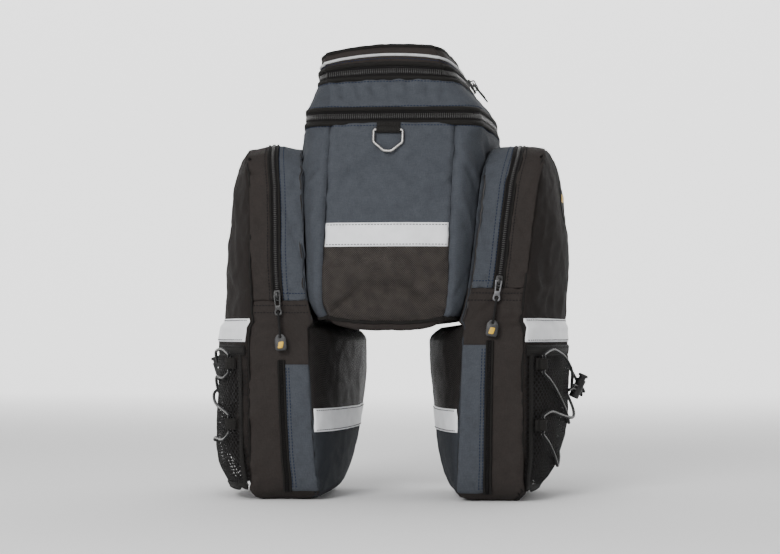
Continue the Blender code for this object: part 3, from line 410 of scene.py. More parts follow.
class Nodes:
    """A short way to write a material's node tree."""

    def __init__(self, name, roughness, metallic=0.0, sheen=0.0, coat=0.0, specular=0.5):
        self.material = bpy.data.materials.new(name)
        self.material.use_nodes = True
        self.tree = self.material.node_tree
        self.shader = self.tree.nodes["Principled BSDF"]
        self.set(self.shader, "Roughness", roughness)
        self.set(self.shader, "Metallic", metallic)
        self.set(self.shader, "Sheen Weight", sheen)
        self.set(self.shader, "Sheen Roughness", 0.45)
        self.set(self.shader, "Coat Weight", coat)
        self.set(self.shader, "Specular IOR Level", specular)

    def set(self, node, socket, source):
        target = node.inputs[socket]
        if isinstance(source, bpy.types.NodeSocket):
            self.tree.links.new(source, target)
        else:
            target.default_value = source

    def node(self, kind, output=0, inputs=(), **settings):
        node = self.tree.nodes.new("ShaderNode" + kind)
        for name, setting in settings.items():
            setattr(node, name, setting)
        for socket, source in dict(inputs).items():
            self.set(node, socket, source)
        return node.outputs[output]

    def math(self, operation, *values, clamp=False):
        return self.node("Math", inputs=enumerate(values), operation=operation, use_clamp=clamp)

    def mix(self, factor, low, high):
        inputs = {0: factor, 6: low, 7: high}
        return self.node("Mix", 2, inputs, data_type="RGBA")

    def place(self):
        """The surface's own coordinates, in metres."""
        return self.node("UVMap", uv_map="metres")

    def axes(self):
        split = self.tree.nodes.new("ShaderNodeSeparateXYZ")
        self.set(split, 0, self.place())
        return split.outputs[0], split.outputs[1]

    def wave(self, source, pitch, shift=0.0):
        turned = self.math("MULTIPLY_ADD", source, math.tau / pitch, shift)
        return self.math("SINE", turned)

    def cloud(self, scale, detail=3.0, rough=0.55, vector=None):
        inputs = {"Scale": scale, "Detail": detail, "Roughness": rough}
        inputs["Vector"] = vector or self.place()
        return self.node("TexNoise", 0, inputs)

    def spread(self, source, low, high, out_low=0.0, out_high=1.0):
        inputs = {0: source, 1: low, 2: high, 3: out_low, 4: out_high}
        return self.node("MapRange", 0, inputs)

    def bump(self, height, distance, strength=1.0, normal=None):
        inputs = {"Height": height, "Distance": distance, "Strength": strength}
        if normal:
            inputs["Normal"] = normal
        return self.node("Bump", 0, inputs)

    def finish(self, colour, normal=None, roughness=None):
        self.set(self.shader, "Base Color", colour)
        if normal:
            self.set(self.shader, "Normal", normal)
        if roughness:
            self.set(self.shader, "Roughness", roughness)
        return self.material


def tone(colour, factor):
    return (*(min(1.0, v * factor) for v in colour), 1.0)


def cloth(name, colour, pitch=0.0009, depth=0.00018, roughness=0.80, contrast=0.35):
    """Woven cloth: crossing threads, a soft mottle, and slubs along both threads."""
    n = Nodes(name, roughness, specular=0.18)
    x, y = n.axes()
    weave = n.math("MULTIPLY", n.wave(x, pitch), n.wave(y, pitch))
    mottle = n.cloud(95, 4)
    grain = n.cloud(620, 2)
    weft = n.cloud(420, 2, vector=n.node("Mapping", inputs={"Vector": n.place(), "Scale": (0.35, 2.2, 1.0)}))
    warp = n.cloud(420, 2, vector=n.node("Mapping", inputs={"Vector": n.place(), "Scale": (2.2, 0.35, 1.0)}))
    shade = n.spread(mottle, 0.3, 0.7, 0.2, 0.45)
    for source, reach in ((grain, 0.26), (weft, 0.20), (warp, 0.20)):
        shade = n.math("ADD", shade, n.spread(source, 0.3, 0.7, -reach * contrast, reach * contrast))
    shade = n.math("ADD", shade, n.spread(weave, -1, 1, -0.12, 0.30), clamp=True)
    base = n.mix(shade, tone(colour, 0.62), tone(colour, 1.45))
    height = n.math("ADD", n.math("MULTIPLY", weave, 0.5), n.math("MULTIPLY", n.math("ADD", weft, warp), 0.7))
    height = n.math("ADD", height, grain)
    rough = n.spread(mottle, 0.3, 0.7, roughness - 0.06, roughness + 0.06)
    return n.finish(base, n.bump(height, depth), rough)


def dobby(name, colour, pitch=0.0023, depth=0.00045, roughness=0.50):
    """Coated cloth with a raised diamond grid."""
    n = Nodes(name, roughness, sheen=0.0, specular=0.30)
    x, y = n.axes()
    grid = n.math("MULTIPLY", n.wave(x, pitch), n.wave(y, pitch))
    threads = n.math("MULTIPLY", n.wave(x, 0.00055), n.wave(y, 0.00055))
    mottle = n.cloud(80, 4)
    shade = n.spread(grid, -1, 1, 0.0, 1.0)
    shade = n.math("ADD", shade, n.spread(mottle, 0.3, 0.7, -0.2, 0.2), clamp=True)
    base = n.mix(shade, tone(colour, 0.30), tone(colour, 2.40))
    height = n.math("ADD", grid, n.math("MULTIPLY", threads, 0.3))
    return n.finish(base, n.bump(height, depth), n.spread(grid, -1, 1, roughness + 0.1, roughness - 0.08))


def reflective(name, colour=(0.84, 0.85, 0.87)):
    """Silver tape: a fine glass-bead grain over a knitted backing."""
    n = Nodes(name, 0.42, sheen=0.0, specular=0.6)
    x, y = n.axes()
    cells = n.math("MULTIPLY", n.wave(x, 0.0011), n.wave(y, 0.0011))
    grain = n.cloud(1800, 2)
    soil = n.cloud(60, 5)
    shade = n.spread(soil, 0.35, 0.7, 0.2, 0.9)
    shade = n.math("ADD", shade, n.spread(grain, 0.2, 0.8, -0.12, 0.12), clamp=True)
    base = n.mix(shade, tone(colour, 0.90), tone(colour, 1.06))
    height = n.math("ADD", n.math("MULTIPLY", cells, 0.5), grain)
    return n.finish(base, n.bump(height, 0.00006), n.spread(soil, 0.3, 0.7, 0.36, 0.50))


def ribbed(name, colour, pitch=0.0016, depth=0.00018, across=True, roughness=0.72, sheen=0.0):
    """Tape or webbing, with ribs one way and fine threads the other."""
    n = Nodes(name, roughness, sheen=sheen, specular=0.22)
    x, y = n.axes()
    first, second = (x, y) if across else (y, x)
    ribs = n.wave(first, pitch)
    threads = n.wave(second, pitch * 0.45)
    both = n.math("ADD", ribs, n.math("MULTIPLY", threads, 0.5))
    fuzz = n.cloud(1300, 2)
    shade = n.spread(both, -1.5, 1.5, 0.05, 0.8)
    shade = n.math("ADD", shade, n.spread(fuzz, 0.3, 0.7, -0.15, 0.2), clamp=True)
    base = n.mix(shade, tone(colour, 0.6), tone(colour, 1.5))
    height = n.math("ADD", both, n.math("MULTIPLY", fuzz, 0.6))
    return n.finish(base, n.bump(height, depth))


def braid(name, dark, light, pitch=0.0027, share=0.5):
    """Braided cord: dark strands, with a light fleck that winds round."""
    n = Nodes(name, 0.66, specular=0.25)
    x, y = n.axes()
    turn = n.math("DIVIDE", x, math.pi * CORD_DIAMETER)
    rise = n.math("DIVIDE", y, pitch)
    one = n.math("SINE", n.math("MULTIPLY", n.math("ADD", rise, turn), math.tau))
    two = n.math("SINE", n.math("MULTIPLY", n.math("SUBTRACT", rise, turn), math.tau))
    fine = n.cloud(1500, 2)
    fleck = n.spread(n.math("MULTIPLY", one, two), 1 - 2 * share, 1.25 - 2 * share)
    base = n.mix(fleck, tone(dark, 1.0), tone(light, 1.0))
    strands = n.math("SINE", n.math("MULTIPLY", n.math("ADD", n.math("MULTIPLY", rise, 2), turn), math.tau))
    height = n.math("ADD", n.math("MULTIPLY", strands, 0.7), n.math("MULTIPLY", fine, 0.5))
    return n.finish(base, n.bump(height, 0.00025))


def moulded(name, colour, roughness=0.42, grain=0.00004, coat=0.0, metallic=0.0):
    """Moulded plastic, rubber or cast metal, with a fine grain and slightly rubbed patches."""
    n = Nodes(name, roughness, metallic=metallic, coat=coat)
    place = n.node("TexCoord", 3)
    grit = n.cloud(2200, 3, vector=place)
    rub = n.cloud(160, 4, vector=place)
    base = n.mix(n.spread(rub, 0.35, 0.75), tone(colour, 0.88), tone(colour, 1.25))
    rough = n.spread(rub, 0.3, 0.7, roughness + 0.08, roughness - 0.08)
    return n.finish(base, n.bump(grit, grain), rough)


SLATE = (0.057, 0.063, 0.074)
CHARCOAL = (0.028, 0.023, 0.021)


def make_materials():
    return {
        "slate": cloth("slate_cloth_finish", SLATE),
        # Painted shade: the slate cloth darkened to 0.55 for the pannier inner faces and their seams, which sit in
        # shade between the panniers
        "slate_painted_shade": cloth("slate_cloth_painted_shade", tone(SLATE, 0.55)[:3]),
        "black": cloth("black_cloth_finish", CHARCOAL, roughness=0.76),
        # Painted shade: the charcoal cloth darkened to 0.62 for the pannier outer panels, which look darker because
        # of how the light falls on them
        "black_painted_shade": cloth("black_cloth_painted_shade", tone(CHARCOAL, 0.62)[:3], roughness=0.85),
        "ripstop": dobby("ripstop_finish", (0.030, 0.025, 0.022)),
        # Painted shade: the ripstop darkened to 0.3 for the pannier inner upper panels, which sit in shade under
        # the trunk
        "ripstop_painted_shade": dobby("ripstop_cloth_painted_shade", (0.009, 0.0075, 0.007)),
        "tape": reflective("reflective_finish"),
        "zip": ribbed("zip_tape_finish", (0.010, 0.009, 0.009), pitch=0.0012),
        "webbing": ribbed("webbing_finish", (0.013, 0.012, 0.011), pitch=0.0017),
        "binding": ribbed("binding_finish", (0.012, 0.011, 0.010), pitch=0.0014),
        "piping": cloth("piping_finish", (0.62, 0.63, 0.64), pitch=0.0006, roughness=0.5, contrast=0.2),
        "net": ribbed("net_finish", (0.011, 0.010, 0.010), pitch=0.0008, roughness=0.7),
        "elastic": braid("elastic_finish", (0.010, 0.010, 0.011), (0.60, 0.60, 0.59), 0.0030, 0.26),
        "pull_cord": braid("pull_cord_finish", (0.012, 0.012, 0.012), (0.024, 0.024, 0.024), 0.002),
        "dark_thread": cloth("dark_thread_finish", (0.008, 0.008, 0.009), pitch=0.0004),
        "blue_thread": cloth("blue_thread_finish", (0.010, 0.018, 0.045), pitch=0.0004),
        "grey_thread": cloth("grey_thread_finish", (0.022, 0.022, 0.026), pitch=0.0004),
        "plastic": moulded("black_plastic_finish", (0.008, 0.008, 0.008), 0.48),
        "steel": moulded("steel_finish", (0.36, 0.35, 0.34), 0.40, 0.00003, metallic=1.0),
        "zinc": moulded("puller_finish", (0.10, 0.10, 0.105), 0.45, 0.00004, metallic=0.5),
        "rubber": moulded("rubber_finish", (0.014, 0.014, 0.015), 0.50, 0.00006),
        "inlay": moulded("inlay_finish", (0.62, 0.37, 0.012), 0.5, 0.00003),
        "coil": moulded("coil_finish", (0.035, 0.034, 0.033), 0.35, 0.00002),
    }


# Sheets of cloth

Fold = namedtuple("Fold", "s t angle length width depth")
# A fold's middle is s along and t up from the sheet's corner, in metres. angle is in degrees from
# the s direction. A depth above 0 is a ridge, and below 0 a crease.


def fold_height(folds, s, t):
    total = np.zeros_like(s)
    for fold in folds:
        turn = math.radians(fold.angle)
        ds, dt = s - (fold.s if fold.s >= 0 else s.max() + fold.s), t - fold.t
        along = ds * math.cos(turn) + dt * math.sin(turn)
        across = dt * math.cos(turn) - ds * math.sin(turn)
        taper = np.exp(-((2 * along / fold.length) ** 4))
        total += fold.depth * np.exp(-((across / fold.width) ** 2)) * taper
    return total


def cloud_height(points, scale, seed, stretch=(1.0, 1.0, 1.0), sharp=False):
    """Smooth noise from -1 to 1 at each point. sharp turns its zero lines into creases."""
    flat = points.reshape(-1, 3) * np.array(stretch) / scale + np.array([seed * 7.31, seed * 3.17, seed])
    found = np.array([noise.noise(Vector(p)) for p in flat]).reshape(points.shape[:-1])
    return 1 - 2.4 * np.abs(found) if sharp else found * 1.8


def grid_lengths(points):
    """The distance along the rows and along the columns of a grid of points."""
    rows = np.linalg.norm(np.diff(points, axis=0), axis=2)
    columns = np.linalg.norm(np.diff(points, axis=1), axis=2)
    s = np.concatenate([np.zeros((1, points.shape[1])), np.cumsum(rows, axis=0)])
    t = np.concatenate([np.zeros((points.shape[0], 1)), np.cumsum(columns, axis=1)], axis=1)
    return s, t


def grid_normals(points, outward, closed=False):
    along = np.gradient(points, axis=0)
    if closed:
        along[0] = along[-1] = (points[1] - points[-2]) / 2
    up = np.gradient(points, axis=1)
    normals = np.cross(along, up)
    normals /= np.maximum(np.linalg.norm(normals, axis=2, keepdims=True), 1e-12)
    if np.sum(normals * outward) < 0:
        normals = -normals
    return normals


Look = namedtuple("Look", "crumple ripple roll pucker seed", defaults=(0.0007, 0.0002, 0.0012, 0.0003, 1))
# crumple and ripple are the heights of long and short waves, roll how deep the sheet turns in at
# its seams, and pucker the gathers beside them


def sheet_height(points, s, t, look, folds, closed=False):
    """How far each point of a sheet stands off its plain shape."""
    total = fold_height(folds, s, t)
    total += look.crumple * cloud_height(points, 0.055, look.seed)
    total += look.crumple * 0.5 * cloud_height(points, 0.028, look.seed + 1, sharp=True)
    total += look.ripple * cloud_height(points, 0.011, look.seed + 2)
    ends = [t, t[:, -1:] - t]
    if not closed:
        ends += [s, s[-1:] - s]
    gathers = cloud_height(points, 0.0075, look.seed + 3)
    for distance in ends:
        total -= look.roll * np.exp(-((distance / 0.0022) ** 2))
        total += look.pucker * gathers * np.exp(-distance / 0.007)
    return total


def add_mesh(name, verts, faces, uvs, material, smooth=True):
    mesh = bpy.data.meshes.new(name)
    mesh.from_pydata(verts, [], faces)
    if uvs is not None:
        layer = mesh.uv_layers.new(name="metres")
        loops = np.empty(len(mesh.loops), np.int32)
        mesh.loops.foreach_get("vertex_index", loops)
        layer.uv.foreach_set("vector", np.asarray(uvs, np.float32)[loops].ravel())
    mesh.materials.append(MATERIALS[material])
    mesh.polygons.foreach_set("use_smooth", [smooth] * len(mesh.polygons))
    mesh.update()
    obj = bpy.data.objects.new(name, mesh)
    bpy.context.scene.collection.objects.link(obj)
    return obj


def own(obj, nodes=(), body=BODY):
    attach(obj, body)
    if nodes:
        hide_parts(*nodes)
    return obj


def grid_faces(rows, columns, start=0, closed=False, flip=False):
    faces = []
    for i in range(rows if closed else rows - 1):
        following = (i + 1) % rows
        for j in range(columns - 1):
            face = (
                start + i * columns + j,
                start + following * columns + j,
                start + following * columns + j + 1,
                start + i * columns + j + 1,
            )
            faces.append(face[::-1] if flip else face)
    return faces


Cloth = namedtuple("Cloth", "points normals lengths us vs closed")


def drape(surface, us, vs, centre, look=Look(), folds=(), closed=False, lift=0.0):
    """The surface as worn cloth: its grid of points with folds and seams, and their normals."""
    us, vs = np.asarray(us, float), np.asarray(vs, float)
    plain = surface(us[:, None], vs[None, :])
    if closed:
        plain = np.concatenate([plain, plain[:1]])
        us = np.append(us, us[0] + 4)
    normals = grid_normals(plain, plain - np.array(centre), closed)
    s, t = grid_lengths(plain)
    height = lift + sheet_height(plain, s, t, look, folds, closed)
    if closed:
        height[-1] = height[0]
    points = plain + normals * height[..., None]
    worn = grid_normals(points, normals, closed)
    return Cloth(points, worn, np.stack([s, t], axis=-1), us, vs, closed)


def emit(name, cloth, material, nodes=(), low=0.0, high=1.0, turn_in=0.003, body=BODY):
    """Makes a piece of the part of a cloth between two of its levels. Its edges are turned in."""
    first = int(np.searchsorted(cloth.vs, low - 1e-9))
    last = int(np.searchsorted(cloth.vs, high + 1e-9))
    points, normals = cloth.points[:, first:last], cloth.normals[:, first:last]
    uv = cloth.lengths[:, first:last]
    hem = points - normals * turn_in
    full = np.concatenate([hem[:, :1], points, hem[:, -1:]], axis=1)
    full_uv = np.concatenate([uv[:, :1], uv, uv[:, -1:]], axis=1)
    if not cloth.closed:
        wide = np.concatenate([normals[:, :1], normals, normals[:, -1:]], axis=1)
        ends = (full[:1] - wide[:1] * turn_in, full, full[-1:] - wide[-1:] * turn_in)
        full = np.concatenate(ends)
        full_uv = np.concatenate([full_uv[:1], full_uv, full_uv[-1:]])
    rows, columns = full.shape[:2]
    verts = full.reshape(-1, 3)
    faces = grid_faces(rows, columns)
    a, b, c = (Vector(verts[k]) for k in faces[len(faces) // 2][:3])
    facing = normals[normals.shape[0] // 2, normals.shape[1] // 2]
    if (b - a).cross(c - b).dot(Vector(facing)) < 0:
        faces = [face[::-1] for face in faces]
    obj = add_mesh(name, verts.tolist(), faces, full_uv.reshape(-1, 2), material)
    return own(obj, nodes, body)


def on_cloth(cloth, u, v, lift=0.0):
    """Points and normals on a cloth at shares u and v, which may be grids."""
    u, v = np.broadcast_arrays(np.asarray(u, float), np.asarray(v, float))
    i = np.interp(u, cloth.us, np.arange(len(cloth.us)))
    j = np.interp(v, cloth.vs, np.arange(len(cloth.vs)))
    i0 = np.minimum(i.astype(int), len(cloth.us) - 2)
    j0 = np.minimum(j.astype(int), len(cloth.vs) - 2)
    fi, fj = (i - i0)[..., None], (j - j0)[..., None]

    def blend(grid):
        low = grid[i0, j0] * (1 - fi) + grid[i0 + 1, j0] * fi
        high = grid[i0, j0 + 1] * (1 - fi) + grid[i0 + 1, j0 + 1] * fi
        return low * (1 - fj) + high * fj

    points, normals = blend(cloth.points), blend(cloth.normals)
    normals /= np.linalg.norm(normals, axis=-1, keepdims=True)
    return points + normals * lift, normals


def patch(cloth, us, vs, lift, look=Look(0, 0.00008, 0.0003, 0.0001)):
    """A second cloth that lies on the first."""
    points, normals = on_cloth(cloth, np.asarray(us)[:, None], np.asarray(vs)[None, :])
    s, t = grid_lengths(points)
    height = lift + sheet_height(points, s, t, look, ())
    points = points + normals * height[..., None]
    return Cloth(points, normals, np.stack([s, t], axis=-1), np.asarray(us), np.asarray(vs), False)


def eased(low, high, count, ease=0.6):
    """Shares from low to high, closer together at both ends."""
    t = np.linspace(0, 1, count)
    return low + (high - low) * (t * (1 - ease) + ease * (0.5 - 0.5 * np.cos(math.pi * t)))


def tube(points, normals, radius, sides=10, closed=False, ends=True, squash=1.0):
    """Vertices, faces and UVs of a tube along a path. squash flattens it along the normals."""
    points = np.asarray(points, float)
    tangents = np.gradient(points, axis=0)
    if closed:
        tangents = np.roll(points, -1, axis=0) - np.roll(points, 1, axis=0)
    tangents /= np.maximum(np.linalg.norm(tangents, axis=1, keepdims=True), 1e-12)
    normals = np.asarray(normals, float)
    normals = normals - tangents * np.sum(normals * tangents, axis=1, keepdims=True)
    normals /= np.maximum(np.linalg.norm(normals, axis=1, keepdims=True), 1e-12)
    sideways = np.cross(tangents, normals)
    turns = np.arange(sides) * math.tau / sides
    radii = np.broadcast_to(np.asarray(radius, float), (len(points),))[:, None, None]
    ring = normals[:, None] * (np.cos(turns) * squash)[None, :, None]
    ring = ring + sideways[:, None] * np.sin(turns)[None, :, None]
    verts = points[:, None] + ring * radii
    steps = np.linalg.norm(np.diff(points, axis=0), axis=1)
    along = np.concatenate([[0], np.cumsum(steps)])
    around = np.abs((turns + math.pi) % math.tau - math.pi) * float(np.mean(radii))
    uv = np.stack(np.broadcast_arrays(around[None, :], along[:, None]), axis=-1)
    count = len(points)
    faces = []
    for i in range(count if closed else count - 1):
        following = (i + 1) % count
        for k in range(sides):
            after = (k + 1) % sides
            corners = (i * sides + k, i * sides + after, following * sides + after, following * sides + k)
            faces.append(corners)
    if ends and not closed:
        faces.append(tuple(range(sides))[::-1])
        faces.append(tuple((count - 1) * sides + k for k in range(sides)))
    return verts.reshape(-1, 3), faces, uv.reshape(-1, 2)


def join(parts):
    """Joins several sets of vertices, faces and UVs."""
    verts, faces, uvs, start = [], [], [], 0
    for v, f, uv in parts:
        verts.append(np.asarray(v))
        uvs.append(np.asarray(uv))
        faces += [tuple(start + k for k in face) for face in f]
        start += len(v)
    return np.concatenate(verts), faces, np.concatenate(uvs)


def add_parts(name, parts, material, nodes=(), body=BODY, smooth=True):
    verts, faces, uvs = join(parts)
    return own(add_mesh(name, verts.tolist(), faces, uvs, material, smooth), nodes, body)


def even(points, normals, pitch):
    """The path's points and normals again, at an even spacing of about pitch."""
    steps = np.linalg.norm(np.diff(points, axis=0), axis=1)
    along = np.concatenate([[0], np.cumsum(steps)])
    count = max(2, int(round(along[-1] / pitch)) + 1)
    places = np.linspace(0, along[-1], count)

    def again(values):
        return np.stack([np.interp(places, along, values[:, k]) for k in range(3)], axis=-1)

    return again(points), again(normals)


def stitches(points, normals, pitch=0.0034, length=0.0026, radius=0.00042):
    """A row of thread stitches that dive into the cloth at both ends."""
    points, normals = even(points, normals, pitch)
    middles = (points[:-1] + points[1:]) / 2
    ups = normals[:-1] + normals[1:]
    ups /= np.maximum(np.linalg.norm(ups, axis=1, keepdims=True), 1e-12)
    along = points[1:] - points[:-1]
    along /= np.maximum(np.linalg.norm(along, axis=1, keepdims=True), 1e-12)
    reach = np.array([-0.5, -0.32, 0.0, 0.32, 0.5]) * length
    rises = np.array([-1.4, 0.25, 0.75, 0.25, -1.4]) * radius
    centres = middles[:, None] + along[:, None] * reach[None, :, None] + ups[:, None] * rises[None, :, None]
    sideways = np.cross(along, ups)
    turns = np.arange(5) * math.tau / 5
    ring = ups[:, None] * np.cos(turns)[None, :, None] + sideways[:, None] * np.sin(turns)[None, :, None]
    verts = centres[:, :, None] + ring[:, None] * radius
    one = []
    for i in range(4):
        for k in range(5):
            after = (k + 1) % 5
            one.append((i * 5 + k, (i + 1) * 5 + k, (i + 1) * 5 + after, i * 5 + after))
    faces = [tuple(m * 25 + k for k in face) for m in range(len(middles)) for face in one]
    uv = np.zeros((verts.size // 3, 2))
    return verts.reshape(-1, 3), faces, uv


def teeth(points, normals, pitch=0.0022, size=(0.0056, 0.0012, 0.0010)):
    """A zip's coil: rounded bars across the path."""
    points, normals = even(points, normals, pitch)
    along = np.gradient(points, axis=0)
    along /= np.linalg.norm(along, axis=1, keepdims=True)
    across = np.cross(along, normals)
    shape = [(x, y) for x in (-0.5, -0.36, 0.36, 0.5) for y in (-0.5, 0.5)]
    verts = []
    for x, y in shape:
        for level in (0.0, 1.0):
            inset = 0.7 if level else 1.0
            drop = 0.45 if abs(x) == 0.5 else 1.0
            offset = across * (x * size[0]) + along * (y * size[1] * inset) + normals * (level * size[2] * drop)
            verts.append(points + offset)
    verts = np.stack(verts, axis=1)
    one = []
    for k in range(3):
        a, b = 4 * k, 4 * k + 4
        one += [(a + 1, a + 3, b + 3, b + 1), (a, b, b + 2, a + 2)]
        one += [(a, a + 1, b + 1, b), (a + 2, b + 2, b + 3, a + 3)]
    one += [(0, 2, 3, 1), (12, 13, 15, 14)]
    count = verts.shape[1]
    faces = [tuple(m * count + k for k in face) for m in range(len(verts)) for face in one]
    uv = np.stack([verts[..., 0], verts[..., 2]], axis=-1).reshape(-1, 2)
    return verts.reshape(-1, 3), faces, uv


# The trunk

TOP_ROUND = 0.020
NEAR_WIDTH = 0.865
LID_SETTLE = 0.004
TOP_NARROWING = 0.035
LID_NARROWING = 0.085
SHOULDER_RISE = 0.004
SHOULDER_TILT = 0.004
ROUND_LOW = 0.66
ROUND_HIGH = 0.735


def level(z):
    return (z - TRUNK_BASE_HEIGHT) / TRUNK_HEIGHT


ZIP_LOW, ZIP_HIGH = level(MAIN_ZIP_HEIGHT), level(MAIN_ZIP_HEIGHT + MAIN_ZIP_WIDTH)
LID_LOW, LID_HIGH = level(LID_ZIP_HEIGHT), level(LID_ZIP_HEIGHT + LID_ZIP_WIDTH)
TAPE_LOW, TAPE_HIGH = level(FRONT_TAPE_FOOT), level(FRONT_TAPE_FOOT + REFLECTIVE_WIDTH)
TRUNK_CENTRE = (CENTRE_X, CENTRE_Y, 0.30)


def around_trunk(p):
    """The trunk's outline in plan: p runs 0 to 1 over the face, then 1 to 4 round the other sides."""
    p = np.asarray(p, float) % 4
    a = np.interp(p, (0, 1, 2, 3, 4), (0, 1, 1, 0, 0))
    b = np.interp(p, (0, 1, 2, 3, 4), (0, 0, 1, 1, 0))
    return a, b


def crown(x, z):
    """The height of a point of the lid: the lid arches from side to side, and settles at its edge."""
    foot = LID_ZIP_HEIGHT + LID_ZIP_WIDTH
    levels = (LID_ZIP_HEIGHT - 0.012, LID_ZIP_HEIGHT, foot, foot + 0.006, foot + LID_SIDE)
    rise = LID_ARCH * np.interp(z, levels, (0.0, 0.25, 0.5, 0.70, 0.65))
    half = trunk_size("belly", np.minimum(z, foot)) * NEAR_WIDTH
    middle = np.maximum(0.0, 1 - (x / half) ** 2)
    shoulder = np.interp(z, levels, (0.0, 0.1, 0.3, 0.6, 1.0))
    middle = middle + shoulder * (SHOULDER_RISE + SHOULDER_TILT * x / half) / np.maximum(rise, 0.001)
    settled = np.minimum(z, foot) + np.maximum(0.0, z - foot) * (1 - LID_SETTLE / LID_SIDE)
    return settled + rise * middle


def upper_plan(z):
    """The sizes of the plan above the panniers. The lid's side stands nearly upright."""
    low = np.minimum(z, LID_ZIP_HEIGHT + LID_ZIP_WIDTH)
    belly = trunk_size("belly", low) * (1 - TOP_NARROWING)
    top = TRUNK_BASE_HEIGHT + TRUNK_HEIGHT
    belly = belly * (1 - LID_NARROWING * np.maximum(0.0, z - low) / (top - low + 0.0001))
    rear = (trunk_size("rear", low) * 2 + trunk_size("rear", z)) / 3
    front = (trunk_size("front", low) * 2 + trunk_size("front", z)) / 3
    return trunk_size("face", z), belly, rear, front


def trunk_side(p, c):
    """The trunk's sides. Above the panniers its plan turns into a rectangle with round corners."""
    p, c = np.broadcast_arrays(np.asarray(p, float), np.asarray(c, float))
    a, b = around_trunk(p)
    plain = trunk_points(a, b, c)
    share = np.clip((c - ROUND_LOW) / (ROUND_HIGH - ROUND_LOW), 0.0, 1.0)
    share = share * share * (3 - 2 * share)
    z = TRUNK_BASE_HEIGHT + c * TRUNK_HEIGHT
    face, belly, rear, front = upper_plan(z)
    radius = TOP_ROUND
    flat, arc = belly * NEAR_WIDTH - radius - face, radius * math.pi / 2
    straight = front - rear - 2 * radius
    along = b * (2 * flat + 2 * arc + straight)
    first = np.clip(along - flat, 0.0, arc) / radius
    last = np.clip(along - flat - arc - straight, 0.0, arc) / radius
    x = face + np.minimum(along, flat) + radius * np.sin(first) - radius * (1 - np.cos(last))
    x = x - np.maximum(0.0, along - flat - 2 * arc - straight)
    y = rear + radius * (1 - np.cos(first)) + np.clip(along - flat - arc, 0.0, straight)
    y = y + radius * np.sin(last)
    middle = 1 - (2 * (y - rear) / (front - rear) - 1) ** 2
    x = x + belly * (1 - NEAR_WIDTH) * middle
    side = (p % 4 >= 1) & (p % 4 <= 2) | (p % 4 >= 3)
    x = np.where(side, x * np.where(a > 0.5, 1, -1), (2 * a - 1) * face)
    y = np.where(side, y, np.where(b < 0.5, rear, front))
    lifted = crown(x, z)
    rounded = np.stack([x + sway(lifted), y + CENTRE_Y, lifted], axis=-1)
    return plain * (1 - share[..., None]) + rounded * share[..., None]


def lid_cap(a, b):
    """The top of the lid: a runs across and b forward."""
    a, b = np.broadcast_arrays(np.asarray(a, float), np.asarray(b, float))
    z = TRUNK_BASE_HEIGHT + TRUNK_HEIGHT
    face, belly, rear, front = upper_plan(np.array(z))
    y = rear + (front - rear) * b
    inside = np.clip(np.minimum(y - rear, front - y), 0.0, TOP_ROUND)
    half = belly * NEAR_WIDTH - TOP_ROUND + np.sqrt(TOP_ROUND**2 - (TOP_ROUND - inside) ** 2)
    half = half + belly * (1 - NEAR_WIDTH) * (1 - (2 * b - 1) ** 2)
    x = (2 * a - 1) * half
    lifted = crown(x, np.full(x.shape, z))
    lifted = lifted + LID_DOME * (1 - (2 * b - 1) ** 2) * (1 - (2 * a - 1) ** 2)
    return np.stack([x + sway(lifted), y + CENTRE_Y, lifted], axis=-1)


FACE_FOLDS = (
    Fold(0.026, 0.172, 34, 0.060, 0.0055, 0.0026),
    Fold(0.036, 0.162, 28, 0.060, 0.0042, -0.0022),
    Fold(0.014, 0.150, 60, 0.040, 0.0040, 0.0018),
    Fold(0.100, 0.170, -34, 0.075, 0.0060, 0.0028),
    Fold(0.092, 0.150, -42, 0.060, 0.0042, -0.0018),
    Fold(0.114, 0.146, 20, 0.040, 0.0045, 0.0020),
    Fold(0.110, 0.128, 15, 0.050, 0.0050, -0.0015),
    Fold(0.022, 0.118, 68, 0.060, 0.0050, 0.0014),
    Fold(0.060, 0.112, 4, 0.080, 0.0080, -0.0014),
    Fold(0.024, 0.022, 42, 0.050, 0.0045, -0.0040),
    Fold(0.108, 0.022, -42, 0.050, 0.0045, -0.0040),
    Fold(0.066, 0.040, 0, 0.062, 0.0050, -0.0034),
    Fold(0.066, 0.060, 0, 0.110, 0.0180, 0.0040),
    Fold(0.066, 0.014, 0, 0.070, 0.0080, 0.0030),
)
# Places from the front right seam round to the front left seam, where they count backwards
WRAP_FOLDS = (
    Fold(0.022, 0.165, -40, 0.050, 0.0045, 0.0024),
    Fold(0.028, 0.150, -48, 0.050, 0.0036, -0.0018),
    Fold(0.018, 0.120, -58, 0.060, 0.0045, 0.0018),
    Fold(0.060, 0.170, -35, 0.060, 0.0060, 0.0020),
    Fold(0.020, 0.040, 50, 0.050, 0.0040, -0.0018),
    Fold(-0.016, 0.160, 35, 0.040, 0.0036, -0.0024),
    Fold(-0.020, 0.148, 28, 0.040, 0.0036, 0.0020),
    Fold(-0.014, 0.115, 62, 0.060, 0.0040, 0.0018),
    Fold(-0.010, 0.075, 80, 0.050, 0.0036, -0.0014),
    Fold(-0.050, 0.168, 35, 0.060, 0.0060, 0.0020),
    Fold(-0.018, 0.035, -50, 0.050, 0.0040, -0.0018),
)
COLLAR_FOLDS = (
    Fold(0.013, 0.024, 80, 0.020, 0.0028, -0.0022),
    Fold(0.031, 0.025, 92, 0.018, 0.0030, -0.0020),
    Fold(0.046, 0.026, 100, 0.018, 0.0034, -0.0024),
    Fold(0.064, 0.025, 85, 0.020, 0.0032, -0.0018),
    Fold(0.083, 0.026, 95, 0.018, 0.0036, -0.0022),
    Fold(0.104, 0.025, 78, 0.018, 0.0030, -0.0020),
    Fold(0.120, 0.022, 70, 0.022, 0.0030, -0.0020),
)
LID_FOLDS = (
    Fold(0.020, 0.010, 12, 0.030, 0.003, 0.0008),
    Fold(0.100, 0.012, -14, 0.030, 0.003, 0.0008),
)


